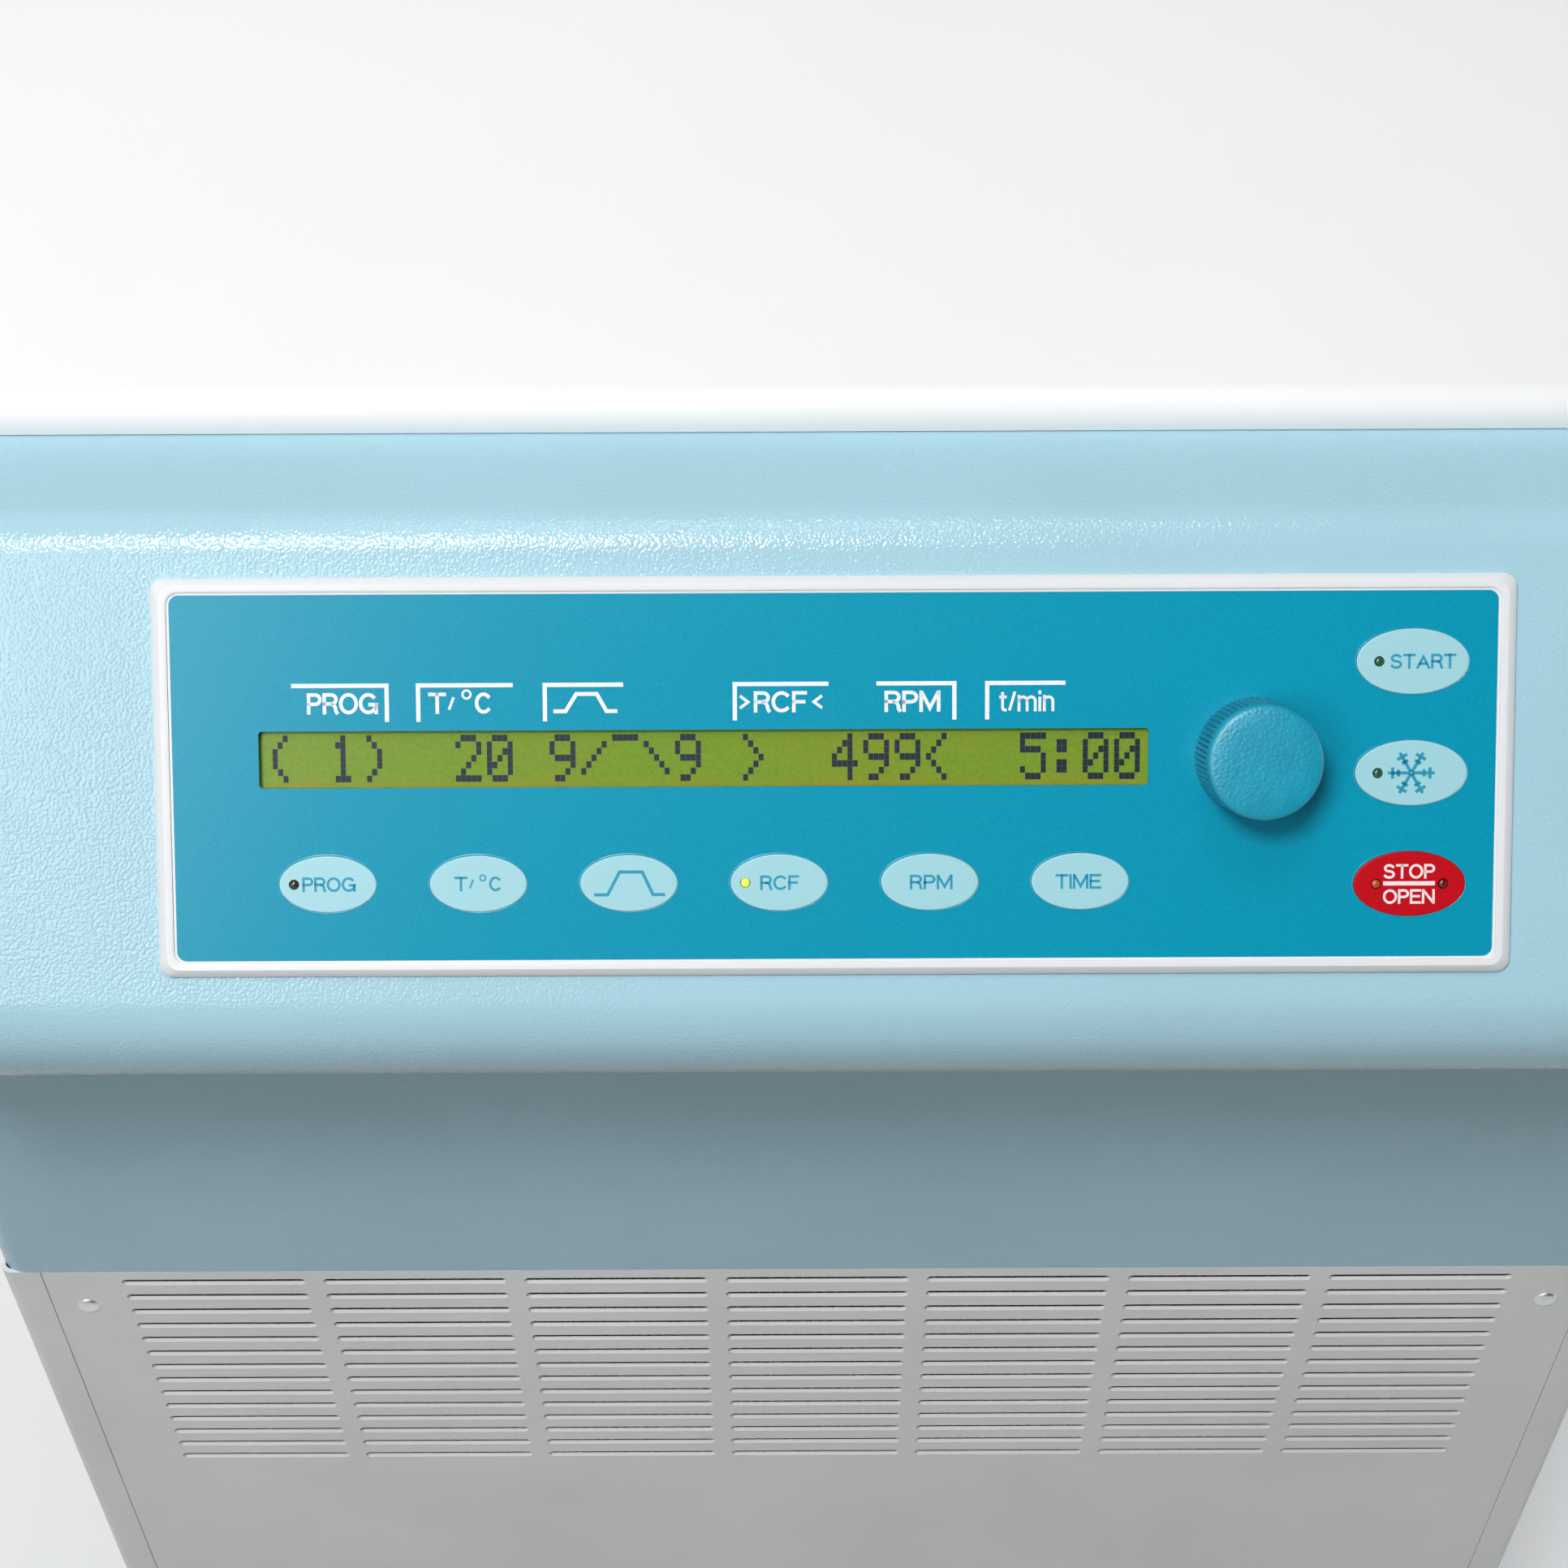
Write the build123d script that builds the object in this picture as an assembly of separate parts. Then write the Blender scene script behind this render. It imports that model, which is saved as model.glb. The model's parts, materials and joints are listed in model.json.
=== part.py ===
from build123d import *
import os
from math import cos, sin, tan, radians, degrees, atan2, pi

# Floor-standing refrigerated cytocentrifuge.
# Frame: millimetres, origin on the floor under the middle of the machine,
# +X to the right seen from the front, +Y to the rear, +Z up.

# ---- Overall form ----
WIDTH = 554.0
FRONT_Y = -293.0            # plane of the recessed band and of the slotted front panel
REAR_Y = 351.0              # rear sheet and rear wall of the upper housing
CABINET_BASE_Z = 90.0       # underside of the base plate
HOUSING_BOTTOM_Z = 580.0    # joint between the lower cabinet and the upper housing
DECK_Z = 898.0              # top face of the housing, round the chamber
LID_REAR_Z = 976.2          # top and rear faces of the lid meet here, before rounding
HOUSING_WALL = 4.0
SHEET = 1.5                 # cabinet sheet steel
GAP = 0.3                   # assembly clearance between neighbouring pieces
RUN = 0.05                  # radial running clearance

# ---- Casters ----
WHEEL_R = 30.0
WHEEL_W = 26.0
WHEEL_HUB_W = 31.4
WHEEL_SHOULDER_R = 5.0
AXLE_R = 4.0
FORK_INNER = 32.0           # between the fork's legs
FORK_LEG = 3.0
FORK_DISC_R = 28.0
FORK_DISC_T = 7.5
FORK_EYE_R = 11.0
CASTER_TRAIL = 24.0
KINGPIN_R = 6.0
KINGPIN_LENGTH = 9.0
CASTER_X = 215.0
FRONT_CASTER_Y = -232.0
REAR_CASTER_Y = 270.0

# ---- Chassis ----
BASE_PLATE_T = 6.0
BASE_RIM_H = 26.0
BASE_RIM_T = 3.0
POST = 30.0
POST_WALL = 2.0
POST_INSET = 15.0           # post's outer face inside the cabinet's wall
SHELF_T = 6.0
SHELF_HOLE_R = 62.0

# ---- Lower cabinet ----
CABINET_CORNER_R = 4.0
DOOR_W = 526.0              # slotted front panel
DOOR_FLANGE = 20.0
SLOT_L = 62.5
SLOT_H = 3.6
SLOT_PITCH_X = 68.5
SLOT_PITCH_Z = 9.7
SLOT_GROUPS = 7
SLOT_ROWS = 14
SLOT_TOP_Z = 573.0
REAR_SLOT_GROUPS = 5
REAR_SLOT_ROWS = 10
REAR_SLOT_TOP_Z = 540.0

# ---- Upper housing ----
PANEL_TILT = 44.0           # lean of the fascia back from the vertical
PANEL_X = 2.5
PANEL_Y = -305.0
PANEL_Z = 850.5
NOSE_BOTTOM_Z = 766.0
NOSE_R = 25.0
BEND_R = 17.0
BAND_TOP_R = 13.0
HOUSING_REAR_R = 12.0
HOUSING_SIDE_R = 9.0

# ---- Rotor chamber ----
CHAMBER_Y = 65.0
CHAMBER_R = 190.0
CHAMBER_WALL = 1.5
CHAMBER_FLOOR_Z = 700.0
SHELF_Z = CHAMBER_FLOOR_Z - 60.0    # underside of the plate that carries the chamber and the motor
CHAMBER_RIM_Z = 889.0
CHAMBER_RIM_R = 212.0
CHAMBER_CORNER_R = 18.0
SHAFT_HOLE_R = 32.0
GASKET_W = 14.0
COIL_PIPE_R = 4.0
COIL_PITCH = 17.0
COIL_FIRST_Z = CHAMBER_FLOOR_Z + CHAMBER_CORNER_R + 2 * COIL_PIPE_R
COIL_TURNS = int((CHAMBER_RIM_Z - COIL_FIRST_Z) / COIL_PITCH)    # as many as the bowl is deep
HEADER_R = 5.0              # pipe that joins the loops
HEADER_OUT = 1.3            # header's axis outside the loops' centre line
INSULATION_R = 225.7
RING_WALL = 8.0             # steel safety ring

# ---- Drive and rotor ----
MOTOR_R = 76.0
MOTOR_H = 180.0
MOTOR_FLANGE_R = 100.0
MOTOR_FLANGE_T = 8.0
MOTOR_FIN_MARGIN = 25.0
MOTOR_BOSS_R = 28.0
DAMPER_R = 15.0
DAMPER_H = 25.0
DAMPER_CIRCLE_R = 82.0
SHAFT_R = 10.0
SHAFT_BOTTOM_Z = SHELF_Z - 8.0
THREAD_R = 6.0
THREAD_L = 16.0
PIN_Z = CHAMBER_FLOOR_Z + 99.0      # swing axis of the buckets
ROTOR_R = 134.0
ROTOR_T = 26.0
ROTOR_HUB_R = 34.0
ROTOR_HUB_H = 50.0
BUCKETS = 4
BUCKET_L = 88.0             # along the swing axis
BUCKET_W = 50.0             # radial
BUCKET_ABOVE = 14.0
BUCKET_BELOW = 48.0
BUCKET_WALL = 3.0
BUCKET_PIN_R = 4.0
BUCKET_SIDE_GAP = 2.0
PIN_CIRCLE_R = 112.0
NOTCH_DEPTH_X = 66.0        # distance of a bucket's notch from the rotor axis
SLIDE_L = 76.0              # microscope slide
SLIDE_W = 26.0
SLIDE_T = 1.1
TRAY_T = 3.0
SAMPLE_R = 10.0
SAMPLE_H = 40.0
SAMPLE_BORE_R = 4.0
SAMPLE_FLANGE_R = 12.5
SAMPLE_FLANGE_T = 3.0

# ---- Lid ----
LID_FRONT_Y = -224.5
LID_REAR_Y = 350.0
LID_SIDE_INSET = 5.0
LID_GAP = 2.0               # between the deck and the lid's liner
LID_RIM_GAP = 0.5           # between the deck and the shell's rim
LID_RIM_END_Y = 250.0       # behind this the rim steps up, so that it can swing past the hinge feet
LID_FRONT_H = 7.5
LID_LIP_R = 8.5
LID_REAR_R = 30.0
LID_SIDE_R = 6.0
LID_WALL = 3.5
LINER_T = 1.5
LINER_RAMP_L = 40.0
HINGE_Y = 330.0
HINGE_Z = 920.0
HINGE_X = 170.0
HINGE_PIN_R = 4.0
HINGE_EYE_R = 9.0
HINGE_LUG_T = 8.0
HINGE_ARM_T = 4.0
HINGE_FOOT_W = 32.0
HINGE_FOOT_L = 60.0
WINDOW_R = 26.0
WINDOW_FLANGE_R = 33.0
WINDOW_FLANGE_T = 2.0

# ---- Lid lock ----
STRIKER_Y = -204.0
STRIKER_T = 3.0
STRIKER_W = 30.0
STRIKER_BOTTOM_Z = 866.0
STRIKER_EYE_W = 18.0
STRIKER_EYE_Z = (873.0, 884.0)
CLAW_Y = -190.0
CLAW_Z = 858.0
CLAW_PIN_R = 3.0
CLAW_ARC_R = (22.3, 27.8)    # the hook's inner and outer radius about its pivot
CLAW_ARC_DEG = 48.0         # how far the hook reaches forward
CLAW_W = 12.0
CLAW_REST_DEG = 35.0        # swung clear of the striker
LOCK_CHEEK_X = 24.0
LOCK_CHEEK_T = 3.0
LOCK_PLATE_T = 3.0

# ---- Control panel, heights measured outwards from the fascia ----
KEYPAD_W = 347.4
KEYPAD_H = 97.6
KEYPAD_CORNER_R = 2.4
KEYPAD_BACK = 1.0
KEYPAD_T = 1.4
KEYPAD_LAP = 3.7            # how far the keypad plate seats on the fascia's edge
PANEL_CUT_W = KEYPAD_W - 2 * KEYPAD_LAP
PANEL_CUT_H = KEYPAD_H - 2 * KEYPAD_LAP
PANEL_CUT_DEEP = 30.0       # clears the fascia wall on its slope
BEZEL_W = KEYPAD_W + 2 * 4.3
BEZEL_H = KEYPAD_H + 2 * 3.7
BEZEL_T = 3.0
BEZEL_CORNER_R = 4.5
BEZEL_CHAMFER = 1.2
LCD_LEFT = 23.3             # margins of the display opening in the keypad plate
LCD_RIGHT = 91.5
LCD_W = KEYPAD_W - LCD_LEFT - LCD_RIGHT
LCD_H = 15.0
LCD_U = (LCD_LEFT - LCD_RIGHT) / 2
LCD_V = 5.0
WINDOW_MARGIN = 4.0
LCD_WINDOW_T = 1.7
DISPLAY_T = 9.0
DISPLAY_MARGIN = 9.0
BOARD_DEPTH = 10.0          # component side of the control board below the fascia
BOARD_T = 1.6
BOARD_W = PANEL_CUT_W - 2 * 4.0
BOARD_H = PANEL_CUT_H - 2 * 1.1
STUD_R = 2.6
STUD_U = BOARD_W / 2 - 5.0
STUD_V = BOARD_H / 2 - 2.9
KEY_W = 25.6
KEY_H = 15.0
SIDE_KEY_W = 29.4
SIDE_KEY_H = 17.2
SIDE_KEY_U = KEYPAD_W / 2 - 22.8
SIDE_KEY_V = 0.4
SIDE_KEY_PITCH = KEYPAD_H / 2 - 19.6
KEY_ROW_IN = 40.8           # first key from the plate's left edge
KEY_ROW_U = KEY_ROW_IN - KEYPAD_W / 2
KEY_ROW_V = 21.0 - KEYPAD_H / 2
KEY_ROW_GAP = 86.4          # from the row's last key to the side keys
KEY_ROW_PITCH = (SIDE_KEY_U - KEY_ROW_GAP - KEY_ROW_U) / 5
KEY_PROUD = 0.4
KEY_T = 2.0
KEY_CLEARANCE = 0.12
KEY_TRAVEL = 0.6
STEM_R = 3.0
LAMP_R = 1.2
ROW_LAMP_OFFSET = -8.9      # lamp's place in its key
SIDE_LAMP_OFFSET = -8.8
KNOB_IN = 64.1              # knob from the plate's right edge
KNOB_U = KEYPAD_W / 2 - KNOB_IN
KNOB_V = 5.0
KNOB_R = 15.5
KNOB_TOP_R = 14.7
KNOB_H = 20.0
KNOB_GAP = 0.4
KNOB_SHAFT_R = 3.0
ENCODER_W = 13.0
ENCODER_H = 7.0
BUSH_R = 4.7

# ---- Cooling plant and mains ----
COMPRESSOR_R = 74.0
COMPRESSOR_H = 225.0
COMPRESSOR_X = -150.0
COMPRESSOR_Y = 235.0
COMPRESSOR_FOOT_H = 14.0
COMPRESSOR_FOOT_R = 11.0
COMPRESSOR_LUG_R = 14.0
COMPRESSOR_LUG_TOP = 34.0   # above the base plate
COMPRESSOR_DOME_R = 26.0
CORE_W = 360.0
CORE_H = 230.0
CORE_T = 38.0
CORE_Z = 330.0
CORE_FRONT_Y = -236.0
CORE_SIDE_T = 2.0
SHROUD_T = 2.0
SHROUD_DEPTH = 34.0
FAN_R = 98.0
FAN_CLEARANCE = 4.0
FAN_HUB_R = 30.0
FAN_BLADES = 5
FAN_BLADE_W = 40.0
FAN_DEPTH = 22.0
FAN_SHAFT_R = 4.0
FAN_MOTOR_R = 34.0
FAN_MOTOR_L = 40.0
INLET_X = -180.0
INLET_Z = 170.0
INLET_W = 58.0
INLET_H = 50.0
INLET_DEPTH = 32.0
INLET_PROUD = 2.0
SOCKET_W = 25.0
SOCKET_H = 17.0
SOCKET_DEPTH = 16.0
ROCKER_W = 13.0
ROCKER_H = 19.0
ROCKER_X = 15.0
ROCKER_SWING = 1.6          # room above and below the tipping rocker
ROCKER_PIN_R = 1.5

# ---- Derived places ----
HALF_W = WIDTH / 2
CABINET_IN_X = HALF_W - SHEET
HOUSING_IN_X = HALF_W - HOUSING_WALL
LID_HALF_W = HALF_W - LID_SIDE_INSET
LID_BOTTOM_Z = DECK_Z + LID_GAP
LID_RIM_Z = DECK_Z + LID_RIM_GAP
RING_R = INSULATION_R + GAP + RING_WALL
SHELF_TOP_Z = SHELF_Z + SHELF_T
BASE_TOP_Z = CABINET_BASE_Z + BASE_PLATE_T
POST_X = HALF_W - POST_INSET - POST / 2
POST_FRONT_Y = FRONT_Y + SHEET + DOOR_FLANGE + GAP + POST / 2
POST_REAR_Y = REAR_Y - SHEET - 4.5 - POST / 2
PANEL = Location(Plane(origin=(PANEL_X, PANEL_Y, PANEL_Z), x_dir=(1, 0, 0),
                       z_dir=(0, -cos(radians(PANEL_TILT)), sin(radians(PANEL_TILT)))))
KEYPAD_TOP = KEYPAD_BACK + KEYPAD_T


def block(x, y, z):
    """Box between two corners, each axis given as a (low, high) pair."""
    size = [high - low for low, high in (x, y, z)]
    middle = [(high + low) / 2 for low, high in (x, y, z)]
    return Pos(*middle) * Box(*size)


def rod_z(x, y, z, r):
    return Pos(x, y, (z[0] + z[1]) / 2) * Cylinder(r, z[1] - z[0])


def rod_x(x, y, z, r):
    return Pos((x[0] + x[1]) / 2, y, z) * Rot(0, 90, 0) * Cylinder(r, x[1] - x[0])


def rod_y(x, y, z, r):
    return Pos(x, (y[0] + y[1]) / 2, z) * Rot(90, 0, 0) * Cylinder(r, y[1] - y[0])


def tube_z(x, y, z, r_out, r_in):
    return rod_z(x, y, z, r_out) - rod_z(x, y, (z[0] - 1, z[1] + 1), r_in)


def side_profile(points, radii):
    """Face in the YZ plane from corner points, with a fillet radius for each corner."""
    outline = Polyline(*[(y, z) for y, z in points], close=True)
    face = make_face(outline)
    for (y, z), r in zip(points, radii):
        if r:
            corner = [v for v in face.vertices() if abs(v.X - y) < 0.01 and abs(v.Y - z) < 0.01]
            face = fillet(corner, r)
    return Plane.YZ * face


def along_x(face, half):
    return extrude(face, half, both=True)


def fascia_y(z):
    """Y of the sloping fascia at height z."""
    return PANEL_Y + (z - PANEL_Z) * tan(radians(PANEL_TILT))


def slot_holes(x_middle, top_z, groups, rows, y):
    """Rounded air slots through a sheet, in side by side groups and rows below each other."""
    cutter = extrude(SlotOverall(SLOT_L, SLOT_H), 10, both=True)
    cutter = Rot(90, 0, 0) * cutter
    return [Pos(x_middle + (i - (groups - 1) / 2) * SLOT_PITCH_X, y, top_z - row * SLOT_PITCH_Z) * cutter
            for i in range(groups) for row in range(rows)]


def save(name, shape):
    export_step(Compound(children=list(shape)) if isinstance(shape, (list, ShapeList)) else shape,
                f"parts/{name}.step")


# ---------------------------------------------------------------- casters

def caster_fork(x, y, swivels):
    """Pressed fork with its axle; a swivelling one turns on a kingpin in the base plate."""
    trail = CASTER_TRAIL if swivels else 0.0
    top = CABINET_BASE_Z - (GAP if swivels else 0.0)
    disc_z = top - FORK_DISC_T
    disc = rod_z(x, y, (disc_z, top), FORK_DISC_R)
    leg = make_face(Polyline((-20, disc_z + 1), (20, disc_z + 1), (trail + FORK_EYE_R, WHEEL_R),
                             (trail - FORK_EYE_R, WHEEL_R), close=True))
    leg = leg + Pos(trail, WHEEL_R) * Circle(FORK_EYE_R)
    fork = disc
    for side in (-1, 1):
        inner = side * FORK_INNER / 2
        plate = extrude(Plane.YZ * leg, side * FORK_LEG)
        fork += Pos(x + inner, y, 0) * plate
    half = FORK_INNER / 2 + FORK_LEG + 2
    fork += rod_x((x - half, x + half), y + trail, WHEEL_R, AXLE_R)
    if swivels:
        fork += rod_z(x, y, (top - 1, CABINET_BASE_Z + KINGPIN_LENGTH), KINGPIN_R)
    return fork


def caster_wheel(x, y):
    """Rubber tread on a plastic hub, free on the fork's axle."""
    half = WHEEL_W / 2
    tread = fillet(Cylinder(WHEEL_R, WHEEL_W).edges(), WHEEL_SHOULDER_R)
    tread -= [Pos(0, 0, side * half) * (Cylinder(WHEEL_R - 8, 5) - Cylinder(WHEEL_R - 18, 5))
              for side in (-1, 1)]
    wheel = tread + Cylinder(AXLE_R + 3.5, WHEEL_HUB_W) - Cylinder(AXLE_R + RUN, WHEEL_HUB_W + 2)
    return Pos(x, y, WHEEL_R) * Rot(0, 90, 0) * wheel


# ---------------------------------------------------------------- chassis and cabinet

def chassis_frame():
    """Welded base plate with a folded rim, four posts and the shelf for chamber and motor."""
    x = CABINET_IN_X - GAP
    y0 = FRONT_Y + SHEET + GAP
    y1 = REAR_Y - SHEET - GAP
    base = block((-x, x), (y0, y1), (CABINET_BASE_Z, BASE_TOP_Z + BASE_RIM_H))
    base = fillet(base.edges().filter_by(Axis.Z), CABINET_CORNER_R)
    base -= block((-x + BASE_RIM_T, x - BASE_RIM_T), (y0 + BASE_RIM_T + DOOR_FLANGE, y1 - BASE_RIM_T),
                  (BASE_TOP_Z, BASE_TOP_Z + BASE_RIM_H + 1))
    base -= block((-x - 1, x + 1), (y0 - 1, y0 + DOOR_FLANGE), (BASE_TOP_Z, BASE_TOP_Z + BASE_RIM_H + 1))
    for sx in (-1, 1):
        base -= rod_z(sx * CASTER_X, FRONT_CASTER_Y, (CABINET_BASE_Z - 1, BASE_TOP_Z + 1), KINGPIN_R + RUN)
    for sx in (-1, 1):
        for y in (POST_FRONT_Y, POST_REAR_Y):
            tube = Box(POST, POST, SHELF_Z - BASE_TOP_Z) - Box(POST - 2 * POST_WALL, POST - 2 * POST_WALL,
                                                               SHELF_Z - BASE_TOP_Z)
            base += Pos(sx * POST_X, y, (SHELF_Z + BASE_TOP_Z) / 2) * tube
    shelf_x = HOUSING_IN_X - GAP
    shelf = block((-shelf_x, shelf_x), (FRONT_Y + HOUSING_WALL + GAP, REAR_Y - HOUSING_WALL - GAP),
                  (SHELF_Z, SHELF_TOP_Z))
    shelf -= rod_z(0, CHAMBER_Y, (SHELF_Z - 1, SHELF_TOP_Z + 1), SHELF_HOLE_R)
    return base + shelf


def cabinet_shell():
    """White sheet wrapped round both sides and the rear, returned at the front beside the door."""
    top = HOUSING_BOTTOM_Z
    outer = block((-HALF_W, HALF_W), (FRONT_Y, REAR_Y), (CABINET_BASE_Z, top))
    outer = fillet(outer.edges().filter_by(Axis.Z), CABINET_CORNER_R)
    inner = block((-CABINET_IN_X, CABINET_IN_X), (FRONT_Y + SHEET, REAR_Y - SHEET),
                  (CABINET_BASE_Z - 1, top + 1))
    inner = fillet(inner.edges().filter_by(Axis.Z), CABINET_CORNER_R - SHEET)
    shell = outer - inner
    door = DOOR_W / 2 + GAP
    shell -= block((-door, door), (FRONT_Y - 1, FRONT_Y + SHEET + 1), (CABINET_BASE_Z - 1, top + 1))
    shell -= slot_holes(0, REAR_SLOT_TOP_Z, REAR_SLOT_GROUPS, REAR_SLOT_ROWS, REAR_Y)
    hole_w, hole_h = INLET_W / 2 - 3, INLET_H / 2 - 3
    shell -= block((INLET_X - hole_w, INLET_X + hole_w), (REAR_Y - 5, REAR_Y + 5),
                   (INLET_Z - hole_h, INLET_Z + hole_h))
    return shell


def front_panel():
    """Slotted front sheet with flanges folded back onto the posts."""
    x = DOOR_W / 2
    z0, z1 = CABINET_BASE_Z, HOUSING_BOTTOM_Z - GAP
    panel = block((-x, x), (FRONT_Y, FRONT_Y + SHEET + DOOR_FLANGE), (z0, z1))
    panel -= block((-x + SHEET, x - SHEET), (FRONT_Y + SHEET, FRONT_Y + SHEET + DOOR_FLANGE + 1),
                   (z0 - 1, z1 - SHEET))
    panel -= block((-x - 1, x + 1), (FRONT_Y + SHEET, FRONT_Y + SHEET + DOOR_FLANGE + 1),
                   (z0 - 1, BASE_TOP_Z + GAP))
    panel -= slot_holes(0, SLOT_TOP_Z, SLOT_GROUPS, SLOT_ROWS, FRONT_Y)
    return panel


def upper_housing():
    """One grained moulding: band, nose, sloping fascia, ledge and the deck round the chamber."""
    corners = [(FRONT_Y, HOUSING_BOTTOM_Z), (FRONT_Y, NOSE_BOTTOM_Z),
               (fascia_y(NOSE_BOTTOM_Z), NOSE_BOTTOM_Z), (fascia_y(DECK_Z), DECK_Z),
               (REAR_Y, DECK_Z), (REAR_Y, HOUSING_BOTTOM_Z)]
    radii = [0, BAND_TOP_R, NOSE_R, BEND_R, HOUSING_REAR_R, 0]
    profile = side_profile(corners, radii)
    body = along_x(profile, HALF_W)
    sides = [e for e in body.edges() if abs(abs(e.center().X) - HALF_W) < 0.01
             and e.center().Z > HOUSING_BOTTOM_Z + 1]
    body = fillet(sides, HOUSING_SIDE_R)
    hollow = along_x(offset(profile, -HOUSING_WALL), HOUSING_IN_X)
    body -= hollow
    body -= block((-HOUSING_IN_X, HOUSING_IN_X), (FRONT_Y + HOUSING_WALL, REAR_Y - HOUSING_WALL),
                  (HOUSING_BOTTOM_Z - 1, HOUSING_BOTTOM_Z + 2 * HOUSING_WALL))
    body -= rod_z(0, CHAMBER_Y, (DECK_Z - 20, DECK_Z + 1), CHAMBER_R + GASKET_W + GAP)
    body -= lock_slot((DECK_Z - HOUSING_WALL - 1, DECK_Z + 1))
    body -= PANEL * Box(PANEL_CUT_W, PANEL_CUT_H, PANEL_CUT_DEEP)
    return body


def lock_slot(z):
    """Slot that the lid's striker drops through."""
    half = STRIKER_W / 2 + 3
    return block((-half, half), (STRIKER_Y - 8, STRIKER_Y + 5), z)


# ---------------------------------------------------------------- rotor chamber

def rotor_chamber():
    """Deep drawn steel bowl with a rolled-out rim and a hole for the shaft in its floor."""
    z0, z1 = CHAMBER_FLOOR_Z, CHAMBER_RIM_Z
    outer = rod_z(0, CHAMBER_Y, (z0, z1), CHAMBER_R + CHAMBER_WALL)
    outer = fillet(outer.edges().group_by(Axis.Z)[0], CHAMBER_CORNER_R + CHAMBER_WALL)
    inner = rod_z(0, CHAMBER_Y, (z0 + CHAMBER_WALL, z1 + 10), CHAMBER_R)
    inner = fillet(inner.edges().group_by(Axis.Z)[0], CHAMBER_CORNER_R)
    rim = rod_z(0, CHAMBER_Y, (z1 - CHAMBER_WALL, z1), CHAMBER_RIM_R)
    return outer + rim - inner - rod_z(0, CHAMBER_Y, (z0 - 1, z0 + 5), SHAFT_HOLE_R)


def chamber_gasket():
    """Rubber ring between the bowl's rim and the closed lid's liner."""
    r_in = CHAMBER_R + 1
    r_out = CHAMBER_R + GASKET_W
    z = (CHAMBER_RIM_Z, LID_BOTTOM_Z - GAP)
    ring = tube_z(0, CHAMBER_Y, z, r_out, r_in)
    top_edges = ring.edges().group_by(Axis.Z)[-1]
    return fillet(top_edges, 3)


def cooling_coil():
    """Copper pipe loops round the bowl, joined by two rising headers."""
    loop_r = CHAMBER_R + CHAMBER_WALL + GAP + COIL_PIPE_R
    headers_z = (COIL_FIRST_Z - 6, COIL_FIRST_Z + (COIL_TURNS - 1) * COIL_PITCH + 6)
    coil = None
    for turn in range(COIL_TURNS):
        loop = Pos(0, CHAMBER_Y, COIL_FIRST_Z + turn * COIL_PITCH) * Torus(loop_r, COIL_PIPE_R)
        coil = loop if coil is None else coil + loop
    for side in (-1, 1):
        angle = radians(90 + side * 4)
        reach = loop_r + HEADER_OUT
        coil += rod_z(reach * cos(angle), CHAMBER_Y + reach * sin(angle), headers_z, HEADER_R)
    return coil


def chamber_insulation():
    """Foam jacket that fills the space between the cooled bowl and the safety ring."""
    coil_out = CHAMBER_R + CHAMBER_WALL + GAP + COIL_PIPE_R + HEADER_OUT + HEADER_R + GAP
    top = CHAMBER_RIM_Z - CHAMBER_WALL - GAP
    jacket = tube_z(0, CHAMBER_Y, (SHELF_TOP_Z, top), INSULATION_R, coil_out)
    floor = tube_z(0, CHAMBER_Y, (SHELF_TOP_Z, CHAMBER_FLOOR_Z), INSULATION_R - 1, SHELF_HOLE_R)
    return jacket + floor


def safety_ring():
    """Thick steel ring that would catch a broken rotor."""
    return tube_z(0, CHAMBER_Y, (SHELF_TOP_Z, CHAMBER_RIM_Z - CHAMBER_WALL - GAP), RING_R, RING_R - RING_WALL)


# ---------------------------------------------------------------- drive and rotor

def motor():
    """Drive motor hung under the shelf by its flange."""
    flange_top = SHELF_Z - DAMPER_H
    body_top = flange_top - MOTOR_FLANGE_T
    body = rod_z(0, CHAMBER_Y, (body_top - MOTOR_H, body_top + 1), MOTOR_R)
    body = fillet(body.edges().group_by(Axis.Z)[0], 8)
    body += rod_z(0, CHAMBER_Y, (body_top, flange_top), MOTOR_FLANGE_R)
    for i in range(24):
        fin = Pos(MOTOR_R + 2, 0, 0) * Box(8, 3, MOTOR_H - 2 * MOTOR_FIN_MARGIN)
        body += Pos(0, CHAMBER_Y, body_top - MOTOR_H / 2) * Rot(0, 0, i * 15) * fin
    body += rod_z(0, CHAMBER_Y, (flange_top - 1, CHAMBER_FLOOR_Z - 10), MOTOR_BOSS_R)
    return body - rod_z(0, CHAMBER_Y, (SHAFT_BOTTOM_Z - GAP, CHAMBER_FLOOR_Z), SHAFT_R + RUN)


def motor_dampers():
    """Rubber mounts between the shelf and the motor's flange."""
    mounts = []
    for i in range(4):
        angle = radians(45 + 90 * i)
        mount = fillet(Cylinder(DAMPER_R, DAMPER_H).edges(), 2)
        mounts.append(Pos(DAMPER_CIRCLE_R * cos(angle), CHAMBER_Y + DAMPER_CIRCLE_R * sin(angle),
                          SHELF_Z - DAMPER_H / 2) * mount)
    return mounts


def rotor_top_z():
    return PIN_Z - ROTOR_T / 2 - 6 + ROTOR_HUB_H


def drive_shaft():
    """Steel spindle with a threaded end for the rotor nut."""
    top = rotor_top_z()
    shaft = rod_z(0, CHAMBER_Y, (SHAFT_BOTTOM_Z, top), SHAFT_R)
    return shaft + rod_z(0, CHAMBER_Y, (top - 1, top + THREAD_L), THREAD_R)


def bucket_places():
    return [i * 360 / BUCKETS for i in range(BUCKETS)]


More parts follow.
